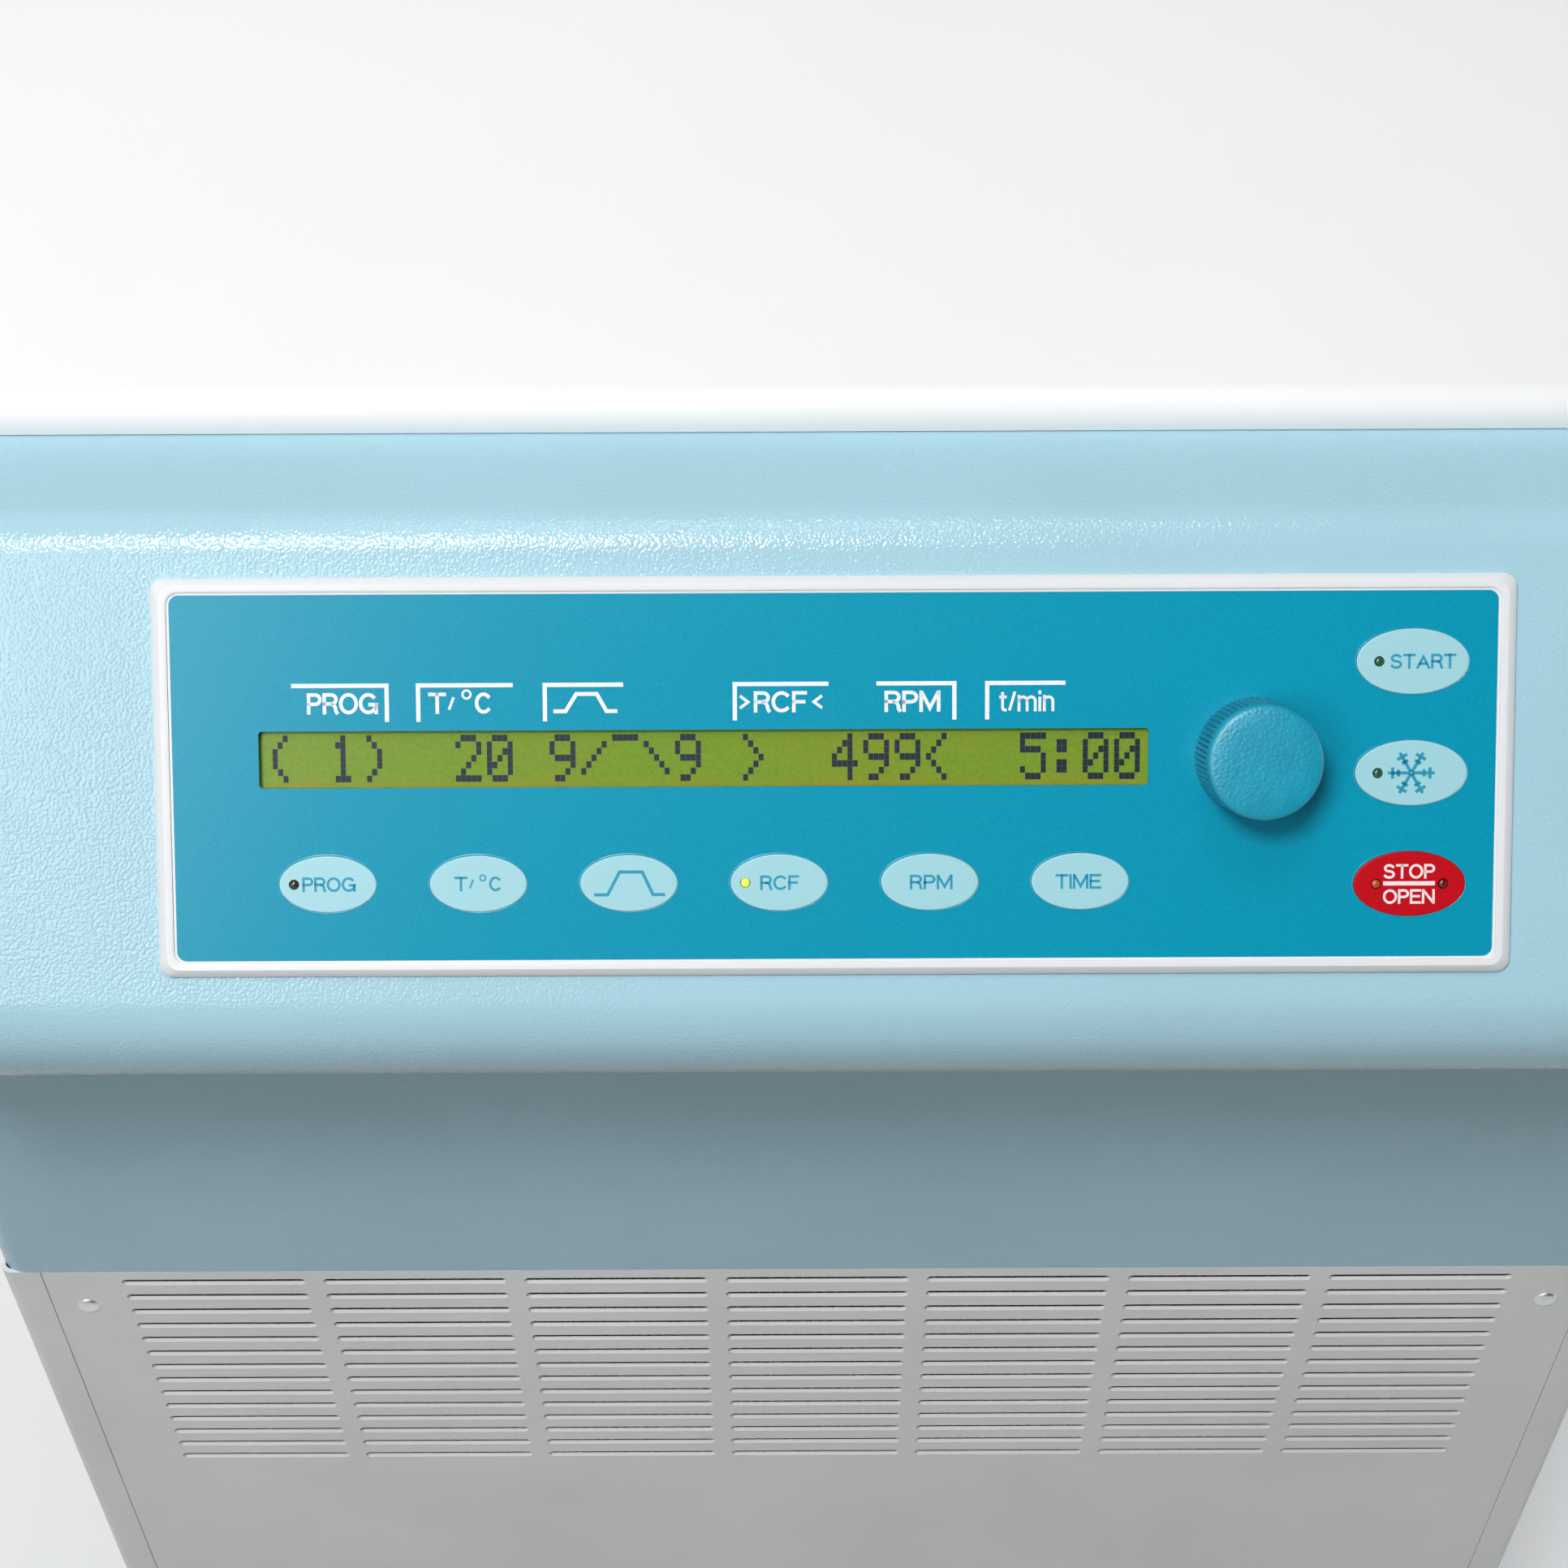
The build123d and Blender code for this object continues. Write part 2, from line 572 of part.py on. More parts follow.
def rotor_head():
    """Swing-out rotor: four arms between the bucket notches, with a pin on each side of a notch."""
    disc_z = (PIN_Z - ROTOR_T / 2, PIN_Z + ROTOR_T / 2)
    head = rod_z(0, 0, disc_z, ROTOR_R)
    half = BUCKET_L / 2 + BUCKET_SIDE_GAP
    for angle in bucket_places():
        notch = block((NOTCH_DEPTH_X, ROTOR_R + 1), (-half, half), (disc_z[0] - 1, disc_z[1] + 1))
        head -= Rot(0, 0, angle) * notch
    outer_edges = head.edges().filter_by(GeomType.CIRCLE)
    head = chamfer(outer_edges, 2)
    top = rotor_top_z()
    head += rod_z(0, 0, (top - ROTOR_HUB_H, top), ROTOR_HUB_R)
    inner = half - BUCKET_SIDE_GAP - BUCKET_WALL + 0.2
    for angle in bucket_places():
        for side in (-1, 1):
            pin = rod_y(PIN_CIRCLE_R, sorted((side * inner, side * (half + 4))), PIN_Z, BUCKET_PIN_R)
            head += Rot(0, 0, angle) * pin
    head -= rod_z(0, 0, (top - ROTOR_HUB_H - 1, top + 1), SHAFT_R + 0.02)
    return Pos(0, CHAMBER_Y, 0) * head


def rotor_nut():
    """Knurled hand nut that clamps the rotor on its shaft."""
    z0 = rotor_top_z()
    nut = rod_z(0, CHAMBER_Y, (z0, z0 + THREAD_L + 4), 20)
    nut = chamfer(nut.edges().group_by(Axis.Z)[-1], 2)
    for i in range(20):
        angle = radians(i * 18)
        nut -= rod_z(20.5 * cos(angle), CHAMBER_Y + 20.5 * sin(angle), (z0 - 1, z0 + THREAD_L + 5), 1.6)
    return nut - rod_z(0, CHAMBER_Y, (z0 - 1, z0 + THREAD_L), THREAD_R + 0.02)


def bucket(angle):
    """Open steel carrier that hangs on two pins and swings out as the rotor turns."""
    z0, z1 = PIN_Z - BUCKET_BELOW, PIN_Z + BUCKET_ABOVE
    x = (PIN_CIRCLE_R - BUCKET_W / 2, PIN_CIRCLE_R + BUCKET_W / 2)
    shell = block(x, (-BUCKET_L / 2, BUCKET_L / 2), (z0, z1))
    shell = fillet(shell.edges().filter_by(Axis.Z), 5)
    wall = BUCKET_WALL
    cup = block((x[0] + wall, x[1] - wall), (-BUCKET_L / 2 + wall, BUCKET_L / 2 - wall), (z0 + wall, z1 + 1))
    shell -= fillet(cup.edges().filter_by(Axis.Z), 2)
    shell -= rod_y(PIN_CIRCLE_R, (-BUCKET_L, BUCKET_L), PIN_Z, BUCKET_PIN_R + RUN)
    return Pos(0, CHAMBER_Y, 0) * Rot(0, 0, angle) * shell


def slide_carrier(angle):
    """Tray, glass slide and sample chamber with its clips, on a bucket's floor."""
    floor = PIN_Z - BUCKET_BELOW + BUCKET_WALL
    tray_top = floor + TRAY_T
    slide_top = tray_top + SLIDE_T
    tray_half = BUCKET_L / 2 - BUCKET_WALL - GAP - 2
    x = PIN_CIRCLE_R
    tray = block((x - 19, x + 19), (-tray_half, tray_half), (floor, tray_top))
    clip_top = slide_top + SAMPLE_FLANGE_T
    for side in (-1, 1):
        near = side * (SLIDE_W / 2 + GAP)
        far = side * 18
        tray += block(sorted((x + near, x + far)), (-6, 6), (tray_top - 1, clip_top + 3))
        tray += block(sorted((x + side * (SAMPLE_R + 1), x + far)), (-6, 6), (clip_top + GAP, clip_top + 3))
    glass = block((x - SLIDE_W / 2, x + SLIDE_W / 2), (-SLIDE_L / 2, SLIDE_L / 2), (tray_top, slide_top))
    chamber = rod_z(x, 0, (slide_top, slide_top + SAMPLE_H), SAMPLE_R)
    chamber += rod_z(x, 0, (slide_top, clip_top), SAMPLE_FLANGE_R)
    chamber -= rod_z(x, 0, (slide_top - 1, slide_top + SAMPLE_H), SAMPLE_BORE_R)
    chamber -= Pos(x, 0, slide_top + SAMPLE_H - 12) * Cone(SAMPLE_BORE_R, SAMPLE_R - 1.5, 24)
    return [Pos(0, CHAMBER_Y, 0) * Rot(0, 0, angle) * piece for piece in (tray, glass, chamber)]


# ---------------------------------------------------------------- lid

def lid_slope():
    """Rise of the lid's top face, in degrees."""
    return degrees(atan2(LID_REAR_Z - LID_BOTTOM_Z - LID_FRONT_H, LID_REAR_Y - LID_FRONT_Y))


def lid_top_z(y):
    return LID_BOTTOM_Z + LID_FRONT_H + (y - LID_FRONT_Y) * tan(radians(lid_slope()))


def lid_shell():
    """White moulded lid, open below, its rear edge rounded about the hinge axis."""
    rear_r = HINGE_Z - LID_BOTTOM_Z
    corners = [(LID_FRONT_Y, LID_RIM_Z), (LID_FRONT_Y, LID_BOTTOM_Z + LID_FRONT_H),
               (LID_REAR_Y, LID_REAR_Z), (LID_REAR_Y, LID_BOTTOM_Z),
               (LID_RIM_END_Y + 10, LID_BOTTOM_Z), (LID_RIM_END_Y, LID_RIM_Z)]
    profile = side_profile(corners, [0, LID_LIP_R, LID_REAR_R, rear_r, 0, 0])
    body = along_x(profile, LID_HALF_W)
    rims = [e for e in body.edges() if abs(abs(e.center().X) - LID_HALF_W) < 0.01
            and e.center().Z > LID_BOTTOM_Z + 0.5 and e.center().Y < LID_REAR_Y - 5]
    body = fillet(rims, LID_SIDE_R)
    body -= along_x(offset(profile, -LID_WALL), LID_HALF_W - LID_WALL)
    y = (LID_FRONT_Y + LID_WALL, HINGE_Y)
    x = LID_HALF_W - LID_WALL
    body -= block((-x, x), y, (LID_RIM_Z - 1, LID_BOTTOM_Z + LID_WALL + 0.1))
    for side in (-1, 1):
        middle = side * HINGE_X
        half = HINGE_LUG_T / 2 + 1.5
        body -= block((middle - half, middle + half), (HINGE_Y - HINGE_EYE_R - 3, LID_REAR_Y + 1),
                      (LID_RIM_Z - 1, HINGE_Z + 6))
    return body - window_hole()


def window_axis():
    """Frame on the lid's top face over the chamber, normal to that face."""
    return Location((0, CHAMBER_Y, lid_top_z(CHAMBER_Y))) * Rot(lid_slope(), 0, 0)


def window_hole():
    return window_axis() * Cylinder(WINDOW_R + GAP, 3 * (LID_REAR_Z - LID_BOTTOM_Z))


def lid_liner():
    """Steel plate that closes the lid from below, with the hinge arms welded to it."""
    x = LID_HALF_W - LID_WALL - GAP
    y_end = HINGE_Y - HINGE_EYE_R - 8
    z = (LID_BOTTOM_Z, LID_BOTTOM_Z + LINER_T)
    plate = block((-x, x), (LID_FRONT_Y + LID_WALL + GAP, y_end), z)
    plate -= window_hole()
    half = STRIKER_W / 2 + GAP
    plate -= block((-half, half), (STRIKER_Y - STRIKER_T / 2 - GAP, STRIKER_Y + STRIKER_T / 2 + GAP),
                   (z[0] - 1, z[1] + 1))
    arm = make_face(Polyline((y_end - LINER_RAMP_L, z[1]), (y_end, z[0]), (HINGE_Y, HINGE_Z - HINGE_EYE_R),
                             (HINGE_Y, HINGE_Z + HINGE_EYE_R), (y_end - LINER_RAMP_L, z[1] + 10), close=True))
    arm += Pos(HINGE_Y, HINGE_Z) * Circle(HINGE_EYE_R)
    arm -= Pos(HINGE_Y, HINGE_Z) * Circle(HINGE_PIN_R + RUN)
    for side in (-1, 1):
        for inner in (HINGE_LUG_T / 2 + GAP, -HINGE_LUG_T / 2 - GAP - HINGE_ARM_T):
            plate += Pos(side * HINGE_X + inner, 0, 0) * extrude(Plane.YZ * arm, HINGE_ARM_T)
    return plate


def lid_window():
    """Clear plug through the lid, for seeing that the rotor has stopped."""
    depth = 2 * (lid_top_z(CHAMBER_Y) - LID_BOTTOM_Z)
    plug = window_axis() * (Pos(0, 0, WINDOW_FLANGE_T / 2) * Cylinder(WINDOW_FLANGE_R, WINDOW_FLANGE_T)
                            + Pos(0, 0, -depth / 2) * Cylinder(WINDOW_R - 0.5, depth))
    return plug - rod_z(0, CHAMBER_Y, (LID_BOTTOM_Z - depth, LID_BOTTOM_Z), 2 * WINDOW_R)


def hinge_brackets():
    """Steel lugs on the deck that carry the lid's hinge pins."""
    lugs = []
    for side in (-1, 1):
        foot = block((side * HINGE_X - HINGE_FOOT_W / 2, side * HINGE_X + HINGE_FOOT_W / 2),
                     (HINGE_Y - HINGE_FOOT_L, HINGE_Y - 4),
                     (DECK_Z, DECK_Z + LID_GAP - GAP))
        lug = make_face(Polyline((HINGE_Y - 12, DECK_Z), (HINGE_Y + 3, DECK_Z),
                                 (HINGE_Y + HINGE_EYE_R, HINGE_Z), (HINGE_Y - HINGE_EYE_R, HINGE_Z),
                                 close=True))
        lug += Pos(HINGE_Y, HINGE_Z) * Circle(HINGE_EYE_R)
        lug -= Pos(HINGE_Y, HINGE_Z) * Circle(HINGE_PIN_R + 0.02)
        plate = Pos(side * HINGE_X, 0, 0) * extrude(Plane.YZ * lug, HINGE_LUG_T / 2, both=True)
        lugs.append(foot + plate)
    return lugs


def hinge_pins():
    half = HINGE_LUG_T / 2 + GAP + HINGE_ARM_T + 2
    return [rod_x((side * HINGE_X - half, side * HINGE_X + half), HINGE_Y, HINGE_Z, HINGE_PIN_R)
            for side in (-1, 1)]


# ---------------------------------------------------------------- lid lock

def lid_striker():
    """Steel tongue with an eye, bolted on top of the liner by its flange."""
    half = STRIKER_W / 2
    top = LID_BOTTOM_Z + LINER_T
    tongue = block((-half, half), (STRIKER_Y - STRIKER_T / 2, STRIKER_Y + STRIKER_T / 2),
                   (STRIKER_BOTTOM_Z, top + 3))
    tongue = chamfer([e for e in tongue.edges().filter_by(Axis.Y) if e.center().Z < STRIKER_BOTTOM_Z + 1], 4)
    flange = block((-half - 6, half + 6), (STRIKER_Y - STRIKER_T / 2, STRIKER_Y + 18), (top, top + 3))
    eye = block((-STRIKER_EYE_W / 2, STRIKER_EYE_W / 2), (STRIKER_Y - 5, STRIKER_Y + 5), STRIKER_EYE_Z)
    return tongue + flange - eye


def lock_claw():
    """Hook, arced about its pivot, that turns forward through the striker's eye, with its pivot pin."""
    inner, outer = CLAW_ARC_R
    reach = radians(CLAW_ARC_DEG)
    wedge = make_face(Polyline((0, 0), (4, 0), (4, 2 * outer),
                               (-2 * outer * sin(reach), 2 * outer * cos(reach)), close=True))
    hook = (make_face(CenterArc((0, 0), outer, 0, 360)) - make_face(CenterArc((0, 0), inner, 0, 360))) & wedge
    hook += Pos(0, inner / 2 + 1) * Rectangle(8, inner + 2)
    hook += Circle(6)
    claw = extrude(Plane.YZ * (Pos(CLAW_Y, CLAW_Z) * hook), CLAW_W / 2, both=True)
    pin_half = LOCK_CHEEK_X + LOCK_CHEEK_T
    claw += rod_x((-pin_half, pin_half), CLAW_Y, CLAW_Z, CLAW_PIN_R)
    claw += rod_x((-LOCK_CHEEK_X + GAP, LOCK_CHEEK_X - GAP), CLAW_Y, CLAW_Z, CLAW_PIN_R + 2)
    return claw.rotate(Axis((0, CLAW_Y, CLAW_Z), (-1, 0, 0)), CLAW_REST_DEG)


def lock_bracket():
    """Bent steel bracket under the deck that carries the claw."""
    top = DECK_Z - HOUSING_WALL
    outer = LOCK_CHEEK_X + LOCK_CHEEK_T
    y = (STRIKER_Y - 10, CLAW_Y + 12)
    bracket = block((-outer, outer), y, (CLAW_Z - 10, top))
    bracket -= block((-LOCK_CHEEK_X, LOCK_CHEEK_X), (y[0] - 1, y[1] + 1), (CLAW_Z - 11, top - LOCK_PLATE_T))
    bracket -= lock_slot((top - LOCK_PLATE_T - 1, top + 1))
    return bracket - rod_x((-outer - 1, outer + 1), CLAW_Y, CLAW_Z, CLAW_PIN_R + RUN)


# ---------------------------------------------------------------- control panel

def plate(w, h, z, corner):
    """Rounded plate parallel to the fascia between two heights above it."""
    return Pos(0, 0, z[0]) * extrude(RectangleRounded(w, h, corner), z[1] - z[0])


def oval(w, h, z):
    return Pos(0, 0, z[0]) * extrude(Ellipse(w / 2, h / 2), z[1] - z[0])


def keys():
    """Name, place on the panel, size and lamp offsets of every key."""
    row = ["program", "temperature", "ramp", "rcf", "speed", "time"]
    placed = []
    for i, name in enumerate(row):
        lamps = [ROW_LAMP_OFFSET] if name in ("program", "rcf") else []
        placed.append((name, KEY_ROW_U + i * KEY_ROW_PITCH, KEY_ROW_V, KEY_W, KEY_H, lamps))
    for i, name in enumerate(["start", "cooling", "stop"]):
        lamps = [SIDE_LAMP_OFFSET] + ([-SIDE_LAMP_OFFSET] if name == "stop" else [])
        v = SIDE_KEY_V + (1 - i) * SIDE_KEY_PITCH
        placed.append((name, SIDE_KEY_U, v, SIDE_KEY_W, SIDE_KEY_H, lamps))
    return placed


def panel_bezel():
    """White frame on the fascia with a chamfered rim and a ledge under the keypad."""
    frame = plate(BEZEL_W, BEZEL_H, (0, BEZEL_T), BEZEL_CORNER_R)
    frame = chamfer(frame.edges().group_by(Axis.Z)[-1], BEZEL_CHAMFER)
    frame -= plate(KEYPAD_W + 2 * KEY_CLEARANCE, KEYPAD_H + 2 * KEY_CLEARANCE,
                   (KEYPAD_BACK, BEZEL_T + 1), KEYPAD_CORNER_R)
    frame -= Box(PANEL_CUT_W, PANEL_CUT_H, 10)
    return PANEL * frame


def keypad_plate():
    """Blue faced aluminium plate with openings for display, keys, lamps and knob, on four studs."""
    face = plate(KEYPAD_W, KEYPAD_H, (KEYPAD_BACK, KEYPAD_TOP), KEYPAD_CORNER_R)
    face -= Pos(LCD_U, LCD_V) * plate(LCD_W, LCD_H, (0, 5), 1)
    for _, u, v, w, h, _ in keys():
        face -= Pos(u, v) * oval(w + 2 * KEY_CLEARANCE, h + 2 * KEY_CLEARANCE, (0, 5))
    face -= Pos(KNOB_U, KNOB_V, 0) * Cylinder(BUSH_R + GAP, 20)
    for su in (-1, 1):
        for sv in (-1, 1):
            face += rod_z(su * STUD_U, sv * STUD_V, (-BOARD_DEPTH, KEYPAD_BACK), STUD_R)
    return PANEL * face


def key(u, v, w, h, lamps):
    """Domed key cap with a stem to its switch and a window for each lamp."""
    top = KEYPAD_TOP + KEY_PROUD
    cap = oval(w, h, (top - KEY_T, top))
    cap = fillet(cap.edges().group_by(Axis.Z)[-1], 0.35)
    stem_end = -BOARD_DEPTH + 0.8 + KEY_TRAVEL + 0.2
    cap += rod_z(0, 0, (stem_end, top - KEY_T + 0.5), STEM_R)
    for lamp in lamps:
        cap -= rod_z(lamp, 0, (top - KEY_T - 1, top + 1), LAMP_R + GAP / 2)
    return PANEL * (Pos(u, v) * cap)


def indicator_lamps():
    """Light pipes that stand on the board and end level with the keys."""
    z = (-BOARD_DEPTH, KEYPAD_TOP + KEY_PROUD - 0.05)
    return [PANEL * rod_z(u + lamp, v, z, LAMP_R) for _, u, v, _, _, lamps in keys() for lamp in lamps]


def display_window():
    z = (-1.0, -1.0 + LCD_WINDOW_T)
    pane = plate(LCD_W + 2 * WINDOW_MARGIN, LCD_H + 2 * WINDOW_MARGIN - 2, z, 1.5)
    return PANEL * (Pos(LCD_U, LCD_V) * pane)


def display_module():
    """Display with its metal frame, on the control board."""
    z = (-BOARD_DEPTH, -BOARD_DEPTH + DISPLAY_T)
    module = Pos(LCD_U, LCD_V) * plate(LCD_W + 2 * DISPLAY_MARGIN, LCD_H + 2 * DISPLAY_MARGIN - 6, z, 2)
    return PANEL * module


def control_board():
    """Circuit board on the keypad's studs, with a switch under each key."""
    board = plate(BOARD_W, BOARD_H, (-BOARD_DEPTH - BOARD_T, -BOARD_DEPTH), 2)
    for _, u, v, _, _, _ in keys():
        board += rod_z(u, v, (-BOARD_DEPTH - 0.5, -BOARD_DEPTH + 0.8), STEM_R)
    return PANEL * board


def knob_encoder():
    """Rotary encoder whose bushing comes up through the keypad plate."""
    z0 = -BOARD_DEPTH
    body = block((-ENCODER_W / 2, ENCODER_W / 2), (-ENCODER_W / 2, ENCODER_W / 2), (z0, z0 + ENCODER_H))
    body += rod_z(0, 0, (z0 + 1, KEYPAD_TOP), BUSH_R)
    body -= rod_z(0, 0, (z0 + 2, KEYPAD_TOP + 1), KNOB_SHAFT_R + RUN)
    return PANEL * (Pos(KNOB_U, KNOB_V) * body)


def control_knob():
    """Ribbed knob with the encoder's shaft pressed into it."""
    z0 = KEYPAD_TOP + KNOB_GAP
    knob = Pos(0, 0, z0 + KNOB_H / 2) * Cone(KNOB_R, KNOB_TOP_R, KNOB_H)
    knob = fillet(knob.edges().group_by(Axis.Z)[-1], 1.2)
    knob += rod_z(0, 0, (-BOARD_DEPTH + 2 + GAP, z0 + 1), KNOB_SHAFT_R)
    return PANEL * (Pos(KNOB_U, KNOB_V) * knob)


# ---------------------------------------------------------------- cooling plant and mains

def compressor():
    """Hermetic compressor on three feet, standing on the base plate."""
    shell = Cylinder(COMPRESSOR_R, COMPRESSOR_H - COMPRESSOR_FOOT_H)
    shell = fillet(shell.edges(), COMPRESSOR_DOME_R)
    z = BASE_TOP_Z + COMPRESSOR_FOOT_H + (COMPRESSOR_H - COMPRESSOR_FOOT_H) / 2
    body = Pos(0, 0, z) * shell
    for angle in (90, 210, 330):
        x = (COMPRESSOR_R - 2) * cos(radians(angle))
        y = (COMPRESSOR_R - 2) * sin(radians(angle))
        foot_top = BASE_TOP_Z + COMPRESSOR_FOOT_H
        body += rod_z(x, y, (foot_top - 2, BASE_TOP_Z + COMPRESSOR_LUG_TOP), COMPRESSOR_LUG_R)
        body += rod_z(x, y, (BASE_TOP_Z, foot_top), COMPRESSOR_FOOT_R)
    body += rod_z(0, 0, (z + (COMPRESSOR_H - COMPRESSOR_FOOT_H) / 2 - 4, BASE_TOP_Z + COMPRESSOR_H + 12), 6)
    return Pos(COMPRESSOR_X, COMPRESSOR_Y, 0) * body


def condenser():
    """Finned pipe block between two side plates that stand on the base plate."""
    y = (CORE_FRONT_Y, CORE_FRONT_Y + CORE_T)
    half = CORE_W / 2
    core = block((-half, half), y, (CORE_Z, CORE_Z + CORE_H))
    walls = [block(sorted((side * half, side * (half + CORE_SIDE_T))), y, (BASE_TOP_Z, CORE_Z + CORE_H))
             for side in (-1, 1)]
    return [core, *walls]


def fan_place():
    """Y of the shroud's front face and the height of the fan's axis."""
    return CORE_FRONT_Y + CORE_T, CORE_Z + CORE_H / 2


def fan_shroud():
    """Sheet duct behind the condenser, with the fan motor on a cross arm."""
    y0, z = fan_place()
    half = CORE_W / 2 + CORE_SIDE_T
    sheet = block((-half, half), (y0, y0 + SHROUD_T), (CORE_Z, CORE_Z + CORE_H))
    duct = rod_y(0, (y0, y0 + SHROUD_DEPTH), z, FAN_R + FAN_CLEARANCE + SHROUD_T)
    shroud = sheet + duct - rod_y(0, (y0 - 1, y0 + SHROUD_DEPTH + 1), z, FAN_R + FAN_CLEARANCE)
    arm_y = (y0 + SHROUD_DEPTH, y0 + SHROUD_DEPTH + 4)
    reach = FAN_R + FAN_CLEARANCE + SHROUD_T
    shroud += block((-reach, reach), arm_y, (z - 10, z + 10))
    shroud += block((-10, 10), arm_y, (z - reach, z + reach))
    shroud += rod_y(0, (arm_y[0], arm_y[0] + FAN_MOTOR_L), z, FAN_MOTOR_R)
    return shroud - rod_y(0, (arm_y[0] - 1, arm_y[0] + FAN_MOTOR_L - 10), z, FAN_SHAFT_R + RUN)


def condenser_fan():
    """Five bladed fan on the motor's shaft."""
    y0, z = fan_place()
    y = (y0 + 6, y0 + 6 + FAN_DEPTH)
    fan = rod_y(0, y, z, FAN_HUB_R)
    shaft_end = y0 + SHROUD_DEPTH + FAN_MOTOR_L - 12
    fan += rod_y(0, (y[1] - 1, shaft_end), z, FAN_SHAFT_R)
    blade_l = FAN_R - FAN_HUB_R + 4
    for i in range(FAN_BLADES):
        blade = Pos(0, 0, FAN_HUB_R - 4 + blade_l / 2) * Rot(0, 0, 28) * Box(FAN_BLADE_W, 2, blade_l)
        blade = blade & rod_y(0, (-15, 15), 0, FAN_R)
        fan += Pos(0, (y[0] + y[1]) / 2, z) * Rot(0, i * 360 / FAN_BLADES, 0) * blade
    return fan


def rocker_place():
    return INLET_X + ROCKER_X, REAR_Y + 0.5, INLET_Z


def mains_inlet():
    """Moulded inlet module on the rear sheet, with the pocket of its rocker switch."""
    x = (INLET_X - INLET_W / 2, INLET_X + INLET_W / 2)
    z = (INLET_Z - INLET_H / 2, INLET_Z + INLET_H / 2)
    body = block((x[0] + 4, x[1] - 4), (REAR_Y - INLET_DEPTH, REAR_Y + 1), (z[0] + 4, z[1] - 4))
    body += fillet(block(x, (REAR_Y, REAR_Y + INLET_PROUD), z).edges().filter_by(Axis.Y), 3)
    sx = INLET_X - 8
    socket = block((sx - SOCKET_W / 2, sx + SOCKET_W / 2), (REAR_Y - SOCKET_DEPTH, REAR_Y + 5),
                   (INLET_Z - SOCKET_H / 2, INLET_Z + SOCKET_H / 2))
    body -= fillet(socket.edges().filter_by(Axis.Y), 3)
    for dx, dz in ((-7, -3), (0, 3), (7, -3)):
        body += block((sx + dx - 1, sx + dx + 1), (REAR_Y - SOCKET_DEPTH - 1, REAR_Y - 4),
                      (INLET_Z + dz - 2, INLET_Z + dz + 2))
    rx, ry, rz = rocker_place()
    body -= block((rx - ROCKER_W / 2 - GAP, rx + ROCKER_W / 2 + GAP), (REAR_Y - 14, REAR_Y + 5),
                  (rz - ROCKER_H / 2 - ROCKER_SWING, rz + ROCKER_H / 2 + ROCKER_SWING))
    return body - rod_x((rx - ROCKER_W / 2 - 1.5, rx + ROCKER_W / 2 + 1.5), ry - 4, rz, ROCKER_PIN_R + RUN)


def mains_switch():
    """Rocker that tips on a pin across its pocket."""
    x, y, z = rocker_place()
    h = ROCKER_H / 2
    side = make_face(Polyline((y - 9, z - 4), (y + 1, z - h), (y - 0.5, z), (y - 1.5, z + h), (y - 9, z + 4),
                              close=True))
    rocker = Pos(x, 0, 0) * extrude(Plane.YZ * side, ROCKER_W / 2, both=True)
    return rocker + rod_x((x - ROCKER_W / 2 - 1.3, x + ROCKER_W / 2 + 1.3), y - 4, z, ROCKER_PIN_R)


# ---------------------------------------------------------------- write the parts

os.makedirs("parts", exist_ok=True)

save("chassis_frame", chassis_frame())
save("front_caster_left", caster_fork(-CASTER_X, FRONT_CASTER_Y, True))
save("front_caster_right", caster_fork(CASTER_X, FRONT_CASTER_Y, True))
save("rear_caster_forks", [caster_fork(s * CASTER_X, REAR_CASTER_Y, False) for s in (-1, 1)])
save("front_wheel_left", caster_wheel(-CASTER_X, FRONT_CASTER_Y + CASTER_TRAIL))
save("front_wheel_right", caster_wheel(CASTER_X, FRONT_CASTER_Y + CASTER_TRAIL))
save("rear_wheel_left", caster_wheel(-CASTER_X, REAR_CASTER_Y))
save("rear_wheel_right", caster_wheel(CASTER_X, REAR_CASTER_Y))
save("cabinet_shell", cabinet_shell())
save("front_panel", front_panel())
save("upper_housing", upper_housing())
save("rotor_chamber", rotor_chamber())
save("chamber_gasket", chamber_gasket())
save("cooling_coil", cooling_coil())
save("chamber_insulation", chamber_insulation())
save("safety_ring", safety_ring())
save("motor", motor())
save("motor_dampers", motor_dampers())
save("drive_shaft", drive_shaft())
save("rotor_head", rotor_head())
save("rotor_nut", rotor_nut())
for number, place in enumerate(bucket_places(), start=1):
    save(f"bucket_{number}", bucket(place))
    save(f"slide_carrier_{number}", slide_carrier(place))
save("lid_shell", lid_shell())
save("lid_liner", lid_liner())
save("lid_window", lid_window())
save("hinge_brackets", hinge_brackets())
save("hinge_pins", hinge_pins())
save("lid_striker", lid_striker())
save("lock_bracket", lock_bracket())
save("lock_claw", lock_claw())
save("panel_bezel", panel_bezel())
save("keypad_plate", keypad_plate())
save("display_window", display_window())
save("display_module", display_module())
save("control_board", control_board())
save("indicator_lamps", indicator_lamps())
save("knob_encoder", knob_encoder())
save("control_knob", control_knob())
for name, u, v, w, h, lamps in keys():
    save(f"{name}_key", key(u, v, w, h, lamps))
save("compressor", compressor())
save("condenser", condenser())
save("fan_shroud", fan_shroud())
save("condenser_fan", condenser_fan())
save("mains_inlet", mains_inlet())
save("mains_switch", mains_switch())
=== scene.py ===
import json
from math import cos, pi, radians, sin

import bmesh
import bpy
from mathutils import Matrix, Vector


